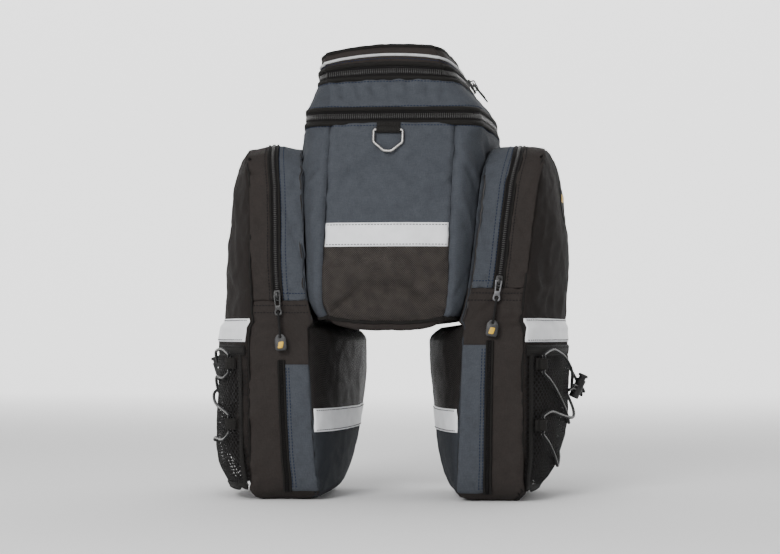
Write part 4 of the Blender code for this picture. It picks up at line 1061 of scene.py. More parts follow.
def seam_tube(name, cloth, us, vs, radius, material, slot, lift=0.0, sides=10, closed=False, nodes=(), squash=1.0):
    points, normals = on_cloth(cloth, us, vs, lift)
    return add_parts(name, [tube(points, normals, radius, sides, closed, squash=squash)], material, nodes)


def make_trunk():
    face = drape(
        lambda a, c: trunk_points(a, 0, c),
        eased(0, 1, 66),
        eased(0, ZIP_LOW, 108, 0.4),
        TRUNK_CENTRE,
        Look(0.0015, 0.00040, 0.0018, 0.00100, 3),
        FACE_FOLDS,
    )
    tape_middle = (TAPE_LOW + TAPE_HIGH) / 2
    split = face.vs[np.argmin(np.abs(face.vs - tape_middle))]
    emit("face_lower_cloth", face, "ripstop", ["trunk_face_lower"], 0, split)
    emit("face_upper_cloth", face, "slate", ["trunk_face_upper"], split, 1)
    tape = patch(face, np.linspace(0.012, 0.988, 60), np.linspace(TAPE_LOW, TAPE_HIGH, 14), 0.0009)
    emit("front_reflective_tape", tape, "tape", ["front_tape"], turn_in=0.0009)
    rows = []
    for v in (TAPE_LOW + 0.0075, TAPE_HIGH - 0.0075):
        rows.append(stitches(*on_cloth(tape, np.linspace(0.02, 0.98, 80), v)))
    add_parts("front_tape_stitches", rows, "grey_thread")

    wrap = drape(
        trunk_side,
        np.concatenate([eased(1, 2, 110, 0.4)[:-1], eased(2, 3, 48, 0.4)[:-1], eased(3, 4, 110, 0.4)]),
        eased(0, ZIP_LOW, 70, 0.4),
        TRUNK_CENTRE,
        Look(0.0013, 0.0004, 0.0012, 0.0010, 4),
        WRAP_FOLDS,
    )
    emit("wrap_cloth", wrap, "slate", ["trunk_wrap"])

    loop = np.concatenate([np.linspace(k, k + 1, n, endpoint=False) for k, n in enumerate((60, 120, 50, 120))])
    main_zip = drape(trunk_side, loop, np.linspace(ZIP_LOW, ZIP_HIGH, 9), TRUNK_CENTRE, Look(0, 0.0001, 0.0006, 0, 5), closed=True)
    emit("main_zip_tape", main_zip, "zip", ["trunk_zip"])
    collar = drape(
        trunk_side, loop, np.linspace(ZIP_HIGH, LID_LOW, 16), TRUNK_CENTRE, Look(0.0008, 0.00045, 0.0009, 0.0012, 6), COLLAR_FOLDS, closed=True
    )
    emit("collar_cloth", collar, "slate", ["trunk_collar"])
    lid_zip = drape(trunk_side, loop, np.linspace(LID_LOW, LID_HIGH, 8), TRUNK_CENTRE, Look(0, 0.0001, 0.0006, 0, 7), closed=True)
    emit("lid_zip_tape", lid_zip, "zip", ["lid_zip"])
    lid_side = drape(
        trunk_side, loop, np.linspace(LID_HIGH, 0.9999, 9), TRUNK_CENTRE, Look(0.0004, 0.0002, 0.0008, 0.0005, 8), LID_FOLDS, closed=True
    )
    emit("lid_side_cloth", lid_side, "black", ["lid"])
    lid_top = drape(
        lid_cap, eased(0, 1, 50), eased(0, 1, 110), (CENTRE_X, CENTRE_Y, 0.3),
        Look(0.0009, 0.0002, 0.0012, 0.0004, 9),
    )
    emit("lid_top_cloth", lid_top, "black")
    base = drape(
        lambda a, b: trunk_points(a, b, 0.0), eased(0, 1, 40), eased(0, 1, 90), (CENTRE_X, CENTRE_Y, 0.4),
        Look(0.0006, 0.0002, 0.0010, 0.0003, 10),
    )
    emit("base_cloth", base, "black", ["trunk_base"])

    for name, cloth in (("main_zip", main_zip), ("lid_zip", lid_zip)):
        middle = (cloth.vs[0] + cloth.vs[-1]) / 2
        points, normals = on_cloth(cloth, cloth.us, middle, 0.0001)
        add_parts(f"{name}_coil", [teeth(points, normals)], "coil")
        for edge, v in (("lower", cloth.vs[0]), ("upper", cloth.vs[-1])):
            points, normals = on_cloth(cloth, cloth.us[:-1], v, 0.0004)
            welt = tube(points, normals, 0.0026, 12, closed=True)
            add_parts(f"{name}_{edge}_welt", [welt], "binding")
    rows = []
    for cloth, places in ((collar, (0.10, 0.90)), (lid_side, (0.22,)), (wrap, (0.985,)), (face, (0.985,))):
        for share in places:
            v = cloth.vs[0] + (cloth.vs[-1] - cloth.vs[0]) * share
            rows.append(stitches(*on_cloth(cloth, np.linspace(cloth.us[0], cloth.us[-1], 400), v)))
    add_parts("trunk_stitches", rows, "blue_thread")
    points, normals = on_cloth(lid_side, lid_side.us[:-1], level(LID_ZIP_HEIGHT + LID_ZIP_WIDTH + PIPING_RISE + PIPING_WIDTH / 2), 0.0002)
    add_parts("lid_piping_cord", [tube(points, normals, 0.0015, 10, closed=True)], "piping", ["lid_piping"])
    points, normals = on_cloth(lid_side, lid_side.us[:-1], 1.0, 0.0)
    add_parts("lid_edge_welt", [tube(points, normals, 0.0022, 12, closed=True)], "binding")
    points, normals = on_cloth(face, np.linspace(0, 1, 90), 0.0, 0.0)
    add_parts("base_front_welt", [tube(points, normals, 0.0022, 10)], "binding")
    ends = np.linspace(-1, 1, 90)[:, None] ** 6
    roll = points + np.array([0.0, 0.0075, -0.0025]) + np.array([0.0, 0.0030, 0.0080]) * ends
    add_parts("base_front_roll", [tube(roll, normals, 0.0066, 16)], "black")
    points, normals = on_cloth(wrap, np.linspace(1, 4, 300), 0.0, 0.0)
    add_parts("base_side_welt", [tube(points, normals, 0.0022, 10)], "binding")
    return face, wrap


# The panniers

def around_pannier(p):
    """The pannier's outline in side view: p runs up the rear, over the top, down the front, under the foot."""
    p = np.asarray(p, float) % 4
    b = np.interp(p, (0, 1, 2, 3, 4), (0, 0, 1, 1, 0))
    c = np.interp(p, (0, 1, 2, 3, 4), (0, 1, 1, 0, 0))
    return b, c


def rim_path(start, stops, counts):
    """Places round the outline, closer together at its corners."""
    path = [start]
    for stop, count in zip(stops, counts):
        path += list(eased(path[-1], stop, count, 0.4)[1:])
    return np.array(path)


OUTER_FOLDS = {
    -1: (
        Fold(0.030, 0.300, 70, 0.10, 0.006, 0.0018),
        Fold(0.060, 0.260, 40, 0.08, 0.006, -0.0015),
    ),
    1: (
        Fold(0.020, 0.235, 15, 0.05, 0.005, 0.0021),
        Fold(0.035, 0.205, -10, 0.06, 0.005, -0.0018),
        Fold(0.020, 0.185, 20, 0.05, 0.004, 0.0015),
    ),
}
INNER_BAND_FOLDS = {
    -1: (
        Fold(0.071, 0.0105, 19, 0.070, 0.0034, -0.0024),
        Fold(0.082, 0.0050, 19, 0.070, 0.0050, 0.0018),
        Fold(0.120, 0.0110, -24, 0.040, 0.0040, -0.0014),
        Fold(0.020, 0.0120, 60, 0.030, 0.0040, -0.0012),
    ),
    1: (
        Fold(0.060, 0.0110, -14, 0.070, 0.0036, -0.0019),
        Fold(0.118, 0.0100, 20, 0.050, 0.0040, -0.0015),
        Fold(0.030, 0.0100, 50, 0.030, 0.0036, -0.0012),
    ),
}
OUTER_BAND_FOLDS = {
    -1: (
        Fold(0.139, 0.0180, 75, 0.014, 0.0030, -0.0030),
        Fold(0.030, 0.0120, 38, 0.050, 0.0034, -0.0018),
        Fold(0.040, 0.0160, 30, 0.050, 0.0040, 0.0015),
        Fold(0.085, 0.0120, 12, 0.060, 0.0050, -0.0012),
    ),
    1: (
        Fold(0.060, 0.0150, -30, 0.040, 0.0034, -0.0019),
        Fold(0.024, 0.0140, -45, 0.040, 0.0034, -0.0018),
        Fold(0.105, 0.0120, 18, 0.050, 0.0040, 0.0015),
    ),
}
# Places on the lower cloth count backwards from its upper end at the rear
LOWER_FOLDS = {
    -1: (
        Fold(-0.022, 0.080, 125, 0.050, 0.0036, -0.0024),
        Fold(-0.040, 0.078, 140, 0.040, 0.0034, -0.0018),
        Fold(-0.026, 0.024, 35, 0.040, 0.0045, -0.0020),
        Fold(-0.044, 0.022, 55, 0.045, 0.0034, -0.0018),
        Fold(-0.062, 0.080, 70, 0.050, 0.0050, 0.0016),
        Fold(-0.090, 0.070, 100, 0.060, 0.0060, -0.0014),
        Fold(-0.125, 0.075, 60, 0.060, 0.0060, 0.0016),
        Fold(-0.185, 0.072, 110, 0.050, 0.0050, 0.0016),
    ),
    1: (
        Fold(-0.028, 0.040, 65, 0.060, 0.0038, -0.0024),
        Fold(-0.044, 0.052, 72, 0.060, 0.0036, 0.0022),
        Fold(-0.058, 0.060, 60, 0.050, 0.0036, -0.0016),
        Fold(-0.106, 0.078, 115, 0.050, 0.0050, -0.0014),
        Fold(-0.150, 0.070, 80, 0.060, 0.0060, 0.0016),
        Fold(-0.190, 0.072, 50, 0.050, 0.0050, 0.0016),
    ),
}


def add_flap_zip(name, lower, flap_top):
    """The closed zip beside the side flap, with a rounded upper end."""
    us = 4 + eased(0.010, flap_top + 0.012, 60)
    tape = patch(lower, us, np.linspace(FLAP_SHARE - 0.01, FLAP_ZIP_SHARE, 8), 0.0012)
    emit(f"{name}_flap_zip_tape", tape, "zip", turn_in=0.0018)
    middle = (FLAP_SHARE + FLAP_ZIP_SHARE) / 2
    points, normals = on_cloth(tape, us, middle, 0.0001)
    add_parts(f"{name}_flap_zip_coil", [teeth(points, normals, size=(0.0026, 0.0011, 0.0007))], "zip")
    rolls = []
    for v in (FLAP_SHARE, FLAP_ZIP_SHARE):
        points, normals = on_cloth(tape, us, v, 0.0002)
        rolls.append(tube(points, normals, 0.0013, 8))
    add_parts(f"{name}_flap_zip_welts", rolls, "binding")


# A plain patch on each outer panel, beside the widest place
LABEL_FOOT = 0.300
LABEL_HEIGHT = 0.038
TOP_RISE = {-1: 0.0055, 1: 0.002}
# Behind the net, the outer panel hangs flat below these heights and reaches its belly above them
FLAT_LOW = {-1: -0.004, 1: -0.012}


def make_pannier(side, name):
    centre = (CENTRE_X + side * 0.14, CENTRE_Y, 0.19)
    zip_end = ZIP_ENDS[side] / PANNIER_HEIGHT

    def outer_surface(b, c):
        points = pannier_points(side, 1, b, c)
        z = points[..., 2]
        share = np.clip((z - FLAT_LOW[side]) / 0.065, 0.0, 1.0)
        share = 1 - share * share * (3 - 2 * share)
        edge = np.clip(z / 0.010, 0.0, 1.0)
        points[..., 0] -= side * share * edge * pannier_size(side, "outer", z) * pillow(round_corners(b, c)[0])
        return points

    def inner_surface(b, c):
        return pannier_points(side, 0, b, c)

    def rim_surface(p, a):
        b, c = around_pannier(p)
        points = pannier_points(side, a, b, c)
        near = np.clip((points[..., 2] - PANNIER_HEIGHT + TOP_CORNER) / TOP_CORNER, 0, 1) ** 2
        points[..., 2] += TOP_RISE[side] * near * np.exp(-(((a - 0.5) / 0.30) ** 2))
        return points

    outer = drape(outer_surface, eased(0, 1, 124, 0.7), eased(0, 1, 150, 0.5), centre, Look(0.0020, 0.00040, 0.0014, 0.0010, 20 + side), OUTER_FOLDS[side])
    # The outer panel uses the painted-shade copy of the black cloth
    emit(f"{name}_outer_cloth", outer, "black_painted_shade", [f"{name}_outer_panel"])
    inner = drape(inner_surface, eased(0, 1, 100, 0.6), eased(0, 1, 120, 0.5), centre, Look(0.0014, 0.0003, 0.0012, 0.0009, 30 + side))
    tape_foot, tape_head = INNER_TAPE_FOOT / PANNIER_HEIGHT, (INNER_TAPE_FOOT + REFLECTIVE_WIDTH) / PANNIER_HEIGHT
    split = inner.vs[np.argmin(np.abs(inner.vs - (tape_foot + tape_head) / 2))]
    # The inner lower panel uses the painted-shade copy of the slate cloth
    emit(f"{name}_inner_lower_cloth", inner, "slate_painted_shade", [f"{name}_inner_lower"], 0, split)
    # The inner upper panel uses the painted-shade copy of the ripstop
    emit(f"{name}_inner_upper_cloth", inner, "ripstop_painted_shade", [f"{name}_inner_upper"], split, 1)

    half = rim_path(zip_end, (1, 2, 4 - 1 - zip_end), (60, 110, 60))
    look = Look(0.0009, 0.0004, 0.0008, 0.0008, 40 + side)
    inner_band = drape(rim_surface, half, eased(0, ZIP_INNER, 16), centre, look, INNER_BAND_FOLDS[side])
    emit(f"{name}_inner_band_cloth", inner_band, "slate", [f"{name}_inner_band"])
    outer_band = drape(rim_surface, half, eased(ZIP_OUTER, 1, 14), centre, look, OUTER_BAND_FOLDS[side])
    emit(f"{name}_outer_band_cloth", outer_band, "black", [f"{name}_outer_band"])
    zip_band = drape(rim_surface, half, np.linspace(ZIP_INNER, ZIP_OUTER, 8), centre, Look(0, 0.0001, 0.0004, 0, 5))
    emit(f"{name}_zip_tape", zip_band, "zip", [f"{name}_zip"])
    lower = drape(
        rim_surface,
        rim_path(3 - zip_end, (3, 4, 4 + zip_end), (70, 100, 80)),
        eased(0, 1, 30),
        centre,
        Look(0.0015, 0.0004, 0.0010, 0.0010, 50 + side),
        LOWER_FOLDS[side],
    )
    emit(f"{name}_lower_cloth", lower, "black", [f"{name}_lower_gusset"])

    middle = (ZIP_INNER + ZIP_OUTER) / 2
    points, normals = on_cloth(zip_band, half, middle, 0.0001)
    add_parts(f"{name}_zip_coil", [teeth(points, normals, size=(0.0034, 0.0012, 0.0009))], "coil")
    for edge, a in (("inner", ZIP_INNER), ("outer", ZIP_OUTER)):
        points, normals = on_cloth(zip_band, half, a, 0.0002)
        add_parts(f"{name}_zip_{edge}_welt", [tube(points, normals, 0.0014, 8)], "binding")

    whole = rim_path(0, (1, 2, 3, 4), (150, 130, 150, 130))[:-1]
    for edge, cloth in (("outer", outer), ("inner", inner)):
        b, c = around_pannier(whole)
        points, normals = on_cloth(cloth, b, c, -0.0006)
        seam = tube(points, normals, 0.0013 if edge == "outer" else 0.0009, 8, closed=True)
        # The inner seam uses the painted-shade copy of the slate cloth
        add_parts(f"{name}_{edge}_seam", [seam], "binding" if edge == "outer" else "slate_painted_shade")

    spread = np.array([LABEL_FOOT, LABEL_FOOT + LABEL_HEIGHT]) / PANNIER_HEIGHT
    label = patch(outer, np.linspace(0.30, 0.42, 16), np.linspace(*spread, 16), 0.0012)
    emit(f"{name}_label", label, "webbing", turn_in=0.0012)
    accent = patch(label, np.linspace(0.32, 0.40, 10), spread[0] + (spread[1] - spread[0]) * np.linspace(0.62, 0.84, 8), 0.0005)
    emit(f"{name}_label_band", accent, "inlay", turn_in=0.0005)

    foot, head = OUTER_TAPE_FOOT / PANNIER_HEIGHT, (OUTER_TAPE_FOOT + REFLECTIVE_WIDTH) / PANNIER_HEIGHT
    tape = patch(outer, eased(0.004, 0.996, 120, 0.7), np.linspace(foot, head, 14), 0.0009)
    emit(f"{name}_outer_reflective_tape", tape, "tape", [f"{name}_outer_tape"], turn_in=0.0009)
    inner_strip = patch(inner, eased(0.004, 0.996, 90, 0.7), np.linspace(tape_foot, tape_head, 12), 0.0009)
    emit(f"{name}_inner_reflective_tape", inner_strip, "tape", [f"{name}_inner_tape"], turn_in=0.0009)
    rows = []
    for strip in (tape, inner_strip):
        for share in (0.08, 0.92):
            v = strip.vs[0] + (strip.vs[-1] - strip.vs[0]) * share
            rows.append(stitches(*on_cloth(strip, np.linspace(0.01, 0.99, 150), v)))
    add_parts(f"{name}_tape_stitches", rows, "grey_thread")

    flap_top = FLAP_HEIGHTS[side] / PANNIER_HEIGHT
    flap_us, flap_vs = 4 + eased(0.015, flap_top, 60), eased(0.01, FLAP_SHARE, 16)
    flap = patch(lower, flap_us, flap_vs, 0.0014, Look(0.0002, 0.0001, 0.0005, 0.0002, 60 + side))
    emit(f"{name}_flap_cloth", flap, "slate", [f"{name}_side_flap"], turn_in=0.0016)
    add_flap_zip(name, lower, flap_top)
    blue, dark = [], []
    for share in (0.93, 0.76):
        blue.append(stitches(*on_cloth(inner_band, half, ZIP_INNER * share)))
    blue.append(stitches(*on_cloth(inner_band, zip_end + 0.020, np.linspace(0.01, ZIP_INNER * 0.97, 30))))
    for share in (0.80, 0.92):
        v = flap.vs[0] + (flap.vs[-1] - flap.vs[0]) * share
        blue.append(stitches(*on_cloth(flap, 4 + np.linspace(0.03, flap_top * 0.98, 60), v)))
    dark.append(stitches(*on_cloth(outer_band, half, ZIP_OUTER + (1 - ZIP_OUTER) * 0.16)))
    for height in (zip_end - 0.014, zip_end - 0.034):
        dark.append(stitches(*on_cloth(lower, 4 + height, np.linspace(0.03, 0.97, 40))))
    add_parts(f"{name}_blue_stitches", blue, "blue_thread")
    add_parts(f"{name}_dark_stitches", dark, "dark_thread")
    return outer, inner, lower, zip_band



# Net pocket, webbing loops, cord locks and elastic

Lacing = namedtuple("Lacing", "along height lift")
LEFT_LACING = (
    (
        Lacing(0.480, 0.146, 0.0060),
        Lacing(0.360, 0.156, 0.0050),
        Lacing(0.220, 0.160, 0.0045),
        Lacing(0.120, 0.161, 0.0050),
    ),
    (
        Lacing(0.120, 0.130, 0.0036),
        Lacing(0.260, 0.130, 0.0032),
        Lacing(0.480, 0.112, 0.0032),
        Lacing(0.620, 0.101, 0.0032),
        Lacing(0.750, 0.094, 0.0032),
        Lacing(0.880, 0.094, 0.0040),
    ),
    (
        Lacing(0.880, 0.064, 0.0036),
        Lacing(0.700, 0.059, 0.0028),
        Lacing(0.450, 0.058, 0.0028),
        Lacing(0.250, 0.063, 0.0028),
        Lacing(0.120, 0.063, 0.0036),
    ),
    (
        Lacing(0.120, 0.096, 0.0040),
        Lacing(0.250, 0.100, 0.0030),
        Lacing(0.370, 0.107, 0.0052),
        Lacing(0.490, 0.113, 0.0074),
        Lacing(0.610, 0.118, 0.0052),
        Lacing(0.750, 0.125, 0.0030),
        Lacing(0.880, 0.129, 0.0040),
    ),
    (
        Lacing(0.880, 0.161, 0.0050),
        Lacing(0.790, 0.158, 0.0050),
        Lacing(0.700, 0.146, 0.0080),
    ),
)
RIGHT_LACING = (
    (
        Lacing(0.330, 0.137, 0.0080),
        Lacing(0.250, 0.152, 0.0060),
        Lacing(0.170, 0.159, 0.0050),
        Lacing(0.115, 0.161, 0.0050),
    ),
    (
        Lacing(0.110, 0.128, 0.0036),
        Lacing(0.180, 0.115, 0.0028),
        Lacing(0.300, 0.096, 0.0028),
        Lacing(0.460, 0.081, 0.0032),
        Lacing(0.600, 0.080, 0.0032),
        Lacing(0.740, 0.084, 0.0032),
        Lacing(0.880, 0.094, 0.0040),
    ),
    (
        Lacing(0.880, 0.060, 0.0036),
        Lacing(0.700, 0.046, 0.0028),
        Lacing(0.450, 0.036, 0.0028),
        Lacing(0.230, 0.046, 0.0028),
        Lacing(0.120, 0.061, 0.0036),
    ),
    (
        Lacing(0.120, 0.095, 0.0040),
        Lacing(0.220, 0.091, 0.0030),
        Lacing(0.360, 0.087, 0.0080),
        Lacing(0.500, 0.092, 0.0074),
        Lacing(0.640, 0.104, 0.0044),
        Lacing(0.760, 0.117, 0.0030),
        Lacing(0.880, 0.128, 0.0040),
    ),
    (
        Lacing(0.880, 0.161, 0.0050),
        Lacing(0.780, 0.156, 0.0040),
        Lacing(0.660, 0.140, 0.0050),
        Lacing(0.560, 0.124, 0.0110),
    ),
)
REAR_LOOP = 0.055
FRONT_LOOP = 0.945
LOOP_HEIGHTS = (0.146, 0.081)
LockPlace = namedtuple("LockPlace", "along height lean turn")
LOCK_PLACES = {-1: LockPlace(0.590, 0.136, 14, 30), 1: LockPlace(0.440, 0.118, 20, 30)}
LOCK_STAND = 0.0105
LOCK_RADIUS = 0.0056
LOCK_LENGTH = 0.0220
LOCK_WALL = 0.0012
BUTTON_HEAD = 0.0030
BUTTON_TRAVEL = 0.0030
RUNNING_CLEARANCE = 0.0004
NET_PITCH = 0.0046
NET_HOLE = 0.70


def outer_faces(side, along, height, lift):
    """Points off the outer panel, lifted from the net pocket's face, with the outward directions there."""
    along, height = np.broadcast_arrays(np.asarray(along, float), np.asarray(height, float))
    c = height / PANNIER_HEIGHT
    step = 0.004
    point = pannier_points(side, 1, along, c)
    forward = pannier_points(side, 1, along + step, c) - pannier_points(side, 1, along - step, c)
    upward = pannier_points(side, 1, along, c + step) - pannier_points(side, 1, along, c - step)
    out = np.cross(forward, upward)
    out /= np.linalg.norm(out, axis=-1, keepdims=True)
    out *= np.sign(out[..., :1] * side)
    within = (height > NET_FOOT) & (height < NET_TOP)
    stand = np.where(within, net_lift(along, c) + NET_SHEET, LIFT)
    return point + out * (stand + lift)[..., None], out


def outer_face(side, along, height, lift):
    point, out = outer_faces(side, along, height, np.asarray(lift, float))
    return Vector(point), Vector(out)


def frame_at(origin, out, up):
    """A frame whose Z is up along the surface and whose Y points into it."""
    out = out.normalized()
    up = (up - out * up.dot(out)).normalized()
    frame = Matrix.Identity(4)
    for column, axis in enumerate((up.cross(out), -out, up, origin)):
        for row in range(3):
            frame[row][column] = axis[row]
    return frame


def smooth_path(points, steps):
    path = []
    padded = [2 * points[0] - points[1]] + points + [2 * points[-1] - points[-2]]
    for p, q, r, s in zip(padded, padded[1:], padded[2:], padded[3:]):
        for k in range(steps):
            t = k / steps
            near = (r - p) * (t / 2) + (2 * p - 5 * q + 4 * r - s) * (t * t / 2)
            path.append(q + near + (3 * q - p - 3 * r + s) * (t**3 / 2))
    return path + [points[-1]]


def solid(name, bm, frame, material, nodes=(), body=BODY, smooth=True):
    """A piece made from a bmesh, placed by a frame, with box-projected places in metres."""
    layer = bm.loops.layers.uv.new("metres")
    bm.normal_update()
    for face in bm.faces:
        axis = max(range(3), key=lambda k: abs(face.normal[k]))
        first, second = [k for k in range(3) if k != axis]
        for corner in face.loops:
            corner[layer].uv = (corner.vert.co[first], corner.vert.co[second])
    mesh = bpy.data.meshes.new(name)
    bm.to_mesh(mesh)
    bm.free()
    mesh.transform(frame)
    mesh.materials.append(MATERIALS[material])
    if smooth:
        mesh.shade_smooth()
        mesh.set_sharp_from_angle(angle=math.radians(38))
    obj = bpy.data.objects.new(name, mesh)
    bpy.context.scene.collection.objects.link(obj)
    return own(obj, nodes, body)


def circle(x, z, radius, count=24):
    turns = [math.tau * k / count for k in range(count)]
    return [(x + radius * math.cos(t), z + radius * math.sin(t)) for t in turns]


def rounded(corners, radius, steps=5):
    """The closed outline with each corner rounded."""
    outline = []
    for before, corner, after in zip(corners[-1:] + corners, corners, corners[1:] + corners[:1]):
        corner, before, after = Vector(corner), Vector(before), Vector(after)
        reach = min(radius, (before - corner).length * 0.45, (after - corner).length * 0.45)
        start = corner + (before - corner).normalized() * reach
        end = corner + (after - corner).normalized() * reach
        for k in range(steps + 1):
            t = k / steps
            outline.append(tuple(start * (1 - t) ** 2 + corner * 2 * t * (1 - t) + end * t * t))
    return outline


def plate_mesh(outlines, depth, bevel=0.0003):
    """A flat plate in the XZ plane, centred on it, with holes and softened rims."""
    bm = bmesh.new()
    for outline in outlines:
        verts = [bm.verts.new((x, -depth / 2, z)) for x, z in outline]
        for v, following in zip(verts, verts[1:] + verts[:1]):
            bm.edges.new((v, following))
    bmesh.ops.triangle_fill(bm, use_beauty=True, edges=bm.edges[:])
    made = bmesh.ops.extrude_face_region(bm, geom=bm.faces[:], use_keep_orig=True)
    moved = [v for v in made["geom"] if isinstance(v, bmesh.types.BMVert)]
    bmesh.ops.translate(bm, verts=moved, vec=(0, depth, 0))
    bmesh.ops.recalc_face_normals(bm, faces=bm.faces[:])
    if bevel:
        rim = [e for e in bm.edges if e.calc_face_angle(0) > 1.2]
        rim = [e for e in rim if abs(e.verts[0].co.y - e.verts[1].co.y) < 1e-7]
        bmesh.ops.bevel(bm, geom=rim, offset=bevel, segments=2, affect="EDGES", profile=0.5)
    return bm


def lathe(profile, steps=40):
    bm = bmesh.new()
    verts = [bm.verts.new((r, 0, z)) for r, z in profile]
    edges = [bm.edges.new(pair) for pair in zip(verts, verts[1:])]
    bmesh.ops.spin(bm, geom=verts + edges, axis=(0, 0, 1), cent=(0, 0, 0), angle=math.tau, steps=steps)
    bmesh.ops.remove_doubles(bm, verts=bm.verts[:], dist=1e-6)
    bmesh.ops.recalc_face_normals(bm, faces=bm.faces[:])
    return bm


def block(size, centre, bevel=0.0):
    bm = bmesh.new()
    bmesh.ops.create_cube(bm, size=1.0, matrix=Matrix.Translation(centre) @ Matrix.Diagonal((*size, 1)))
    if bevel:
        bmesh.ops.bevel(bm, geom=bm.edges[:], offset=bevel, segments=3, affect="EDGES", profile=0.6)
    return bm


def boolean(first, second, operation):
    """The first bmesh cut by, or joined to, the second."""
    objects = []
    for bm in (first, second):
        mesh = bpy.data.meshes.new("scrap")
        bm.to_mesh(mesh)
        bm.free()
        obj = bpy.data.objects.new("scrap", mesh)
        bpy.context.scene.collection.objects.link(obj)
        objects.append(obj)
    modifier = objects[0].modifiers.new("scrap", "BOOLEAN")
    modifier.operation, modifier.solver, modifier.object = operation, "EXACT", objects[1]
    depsgraph = bpy.context.evaluated_depsgraph_get()
    result = bmesh.new()
    result.from_mesh(objects[0].evaluated_get(depsgraph).to_mesh())
    for obj in objects:
        bpy.data.objects.remove(obj, do_unlink=True)
    return result


def make_net(side, name):
    """The net: a lattice of diamond holes that stands off the outer panel."""
    high, length = NET_TOP - NET_FOOT, PANNIER_LENGTH
    half = NET_PITCH / math.sqrt(2)
    columns, rows = int(length / half), int(high / half)
    corner_s = np.arange(columns + 1) * (length / columns)
    corner_t = NET_FOOT + np.arange(rows + 1) * (high / rows)
    ds, dt = length / columns, high / rows
    number, verts_st, faces = {}, [], []

    def corner(i, j):
        if (i, j) not in number:
            number[i, j] = len(verts_st)
            verts_st.append((corner_s[i], corner_t[j], 0.0))
        return number[i, j]

    for j in range(1, rows):
        for i in range(1, columns):
            if (i + j) % 2:
                continue
            outer = [corner(i + 1, j), corner(i, j + 1), corner(i - 1, j), corner(i, j - 1)]
            s, t = corner_s[i], corner_t[j]
            start = len(verts_st)
            for sink in (0.0, -0.00055):
                for ax, at in ((1, 0), (0, 1), (-1, 0), (0, -1)):
                    verts_st.append((s + ax * ds * NET_HOLE, t + at * dt * NET_HOLE, sink))
            for k in range(4):
                after = (k + 1) % 4
                faces.append((outer[k], outer[after], start + after, start + k))
                faces.append((start + k, start + after, start + 4 + after, start + 4 + k))
    st = np.array(verts_st)
    b, c = st[:, 0] / length, st[:, 1] / PANNIER_HEIGHT
    points, out = outer_faces(side, b, st[:, 1], st[:, 2])
    waves = 0.0011 * cloud_height(points, 0.035, 70 + side) + 0.0004 * cloud_height(points, 0.010, 72 + side)
    edge = np.minimum(np.minimum(b, 1 - b) * length, np.minimum(st[:, 1] - NET_FOOT, NET_TOP - st[:, 1]))
    points = points + out * (waves * np.clip(edge / 0.012, 0, 1))[:, None]
    if side < 0:
        faces = [face[::-1] for face in faces]
    obj = add_mesh(f"{name}_net_lattice", points.tolist(), faces, st[:, :2], "net", smooth=False)
    own(obj, [f"{name}_net_pocket"])


def make_bindings(side, name):
    """The flat tapes that hold the net's four edges."""
    parts = []
    inset = 0.006
    low, high = NET_FOOT, NET_TOP
    rounds = []
    lines = (
        (np.linspace(0.004, 0.996, 160), np.full(160, high - 0.002), 0.0058),
        (np.linspace(0.004, 0.996, 160), np.full(160, low + 0.002), 0.0042),
        (np.full(80, inset / PANNIER_LENGTH), np.linspace(low, high, 80), 0.0040),
        (np.full(80, 1 - inset / PANNIER_LENGTH), np.linspace(low, high, 80), 0.0040),
    )
    for along, height, half in lines:
        points, out = outer_faces(side, along, height, np.full(len(along), 0.0003))
        parts.append(tube(points, out, half, 12, squash=0.22))
        for shift in (-0.6, 0.6):
            tangent = np.gradient(points, axis=0)
            tangent /= np.linalg.norm(tangent, axis=1, keepdims=True)
            beside = np.cross(out, tangent) * half * shift
            rounds.append(stitches(points + beside + out * half * 0.17, out, radius=0.00026))
    add_parts(f"{name}_net_binding", parts, "binding")
    add_parts(f"{name}_net_stitches", rounds, "dark_thread")


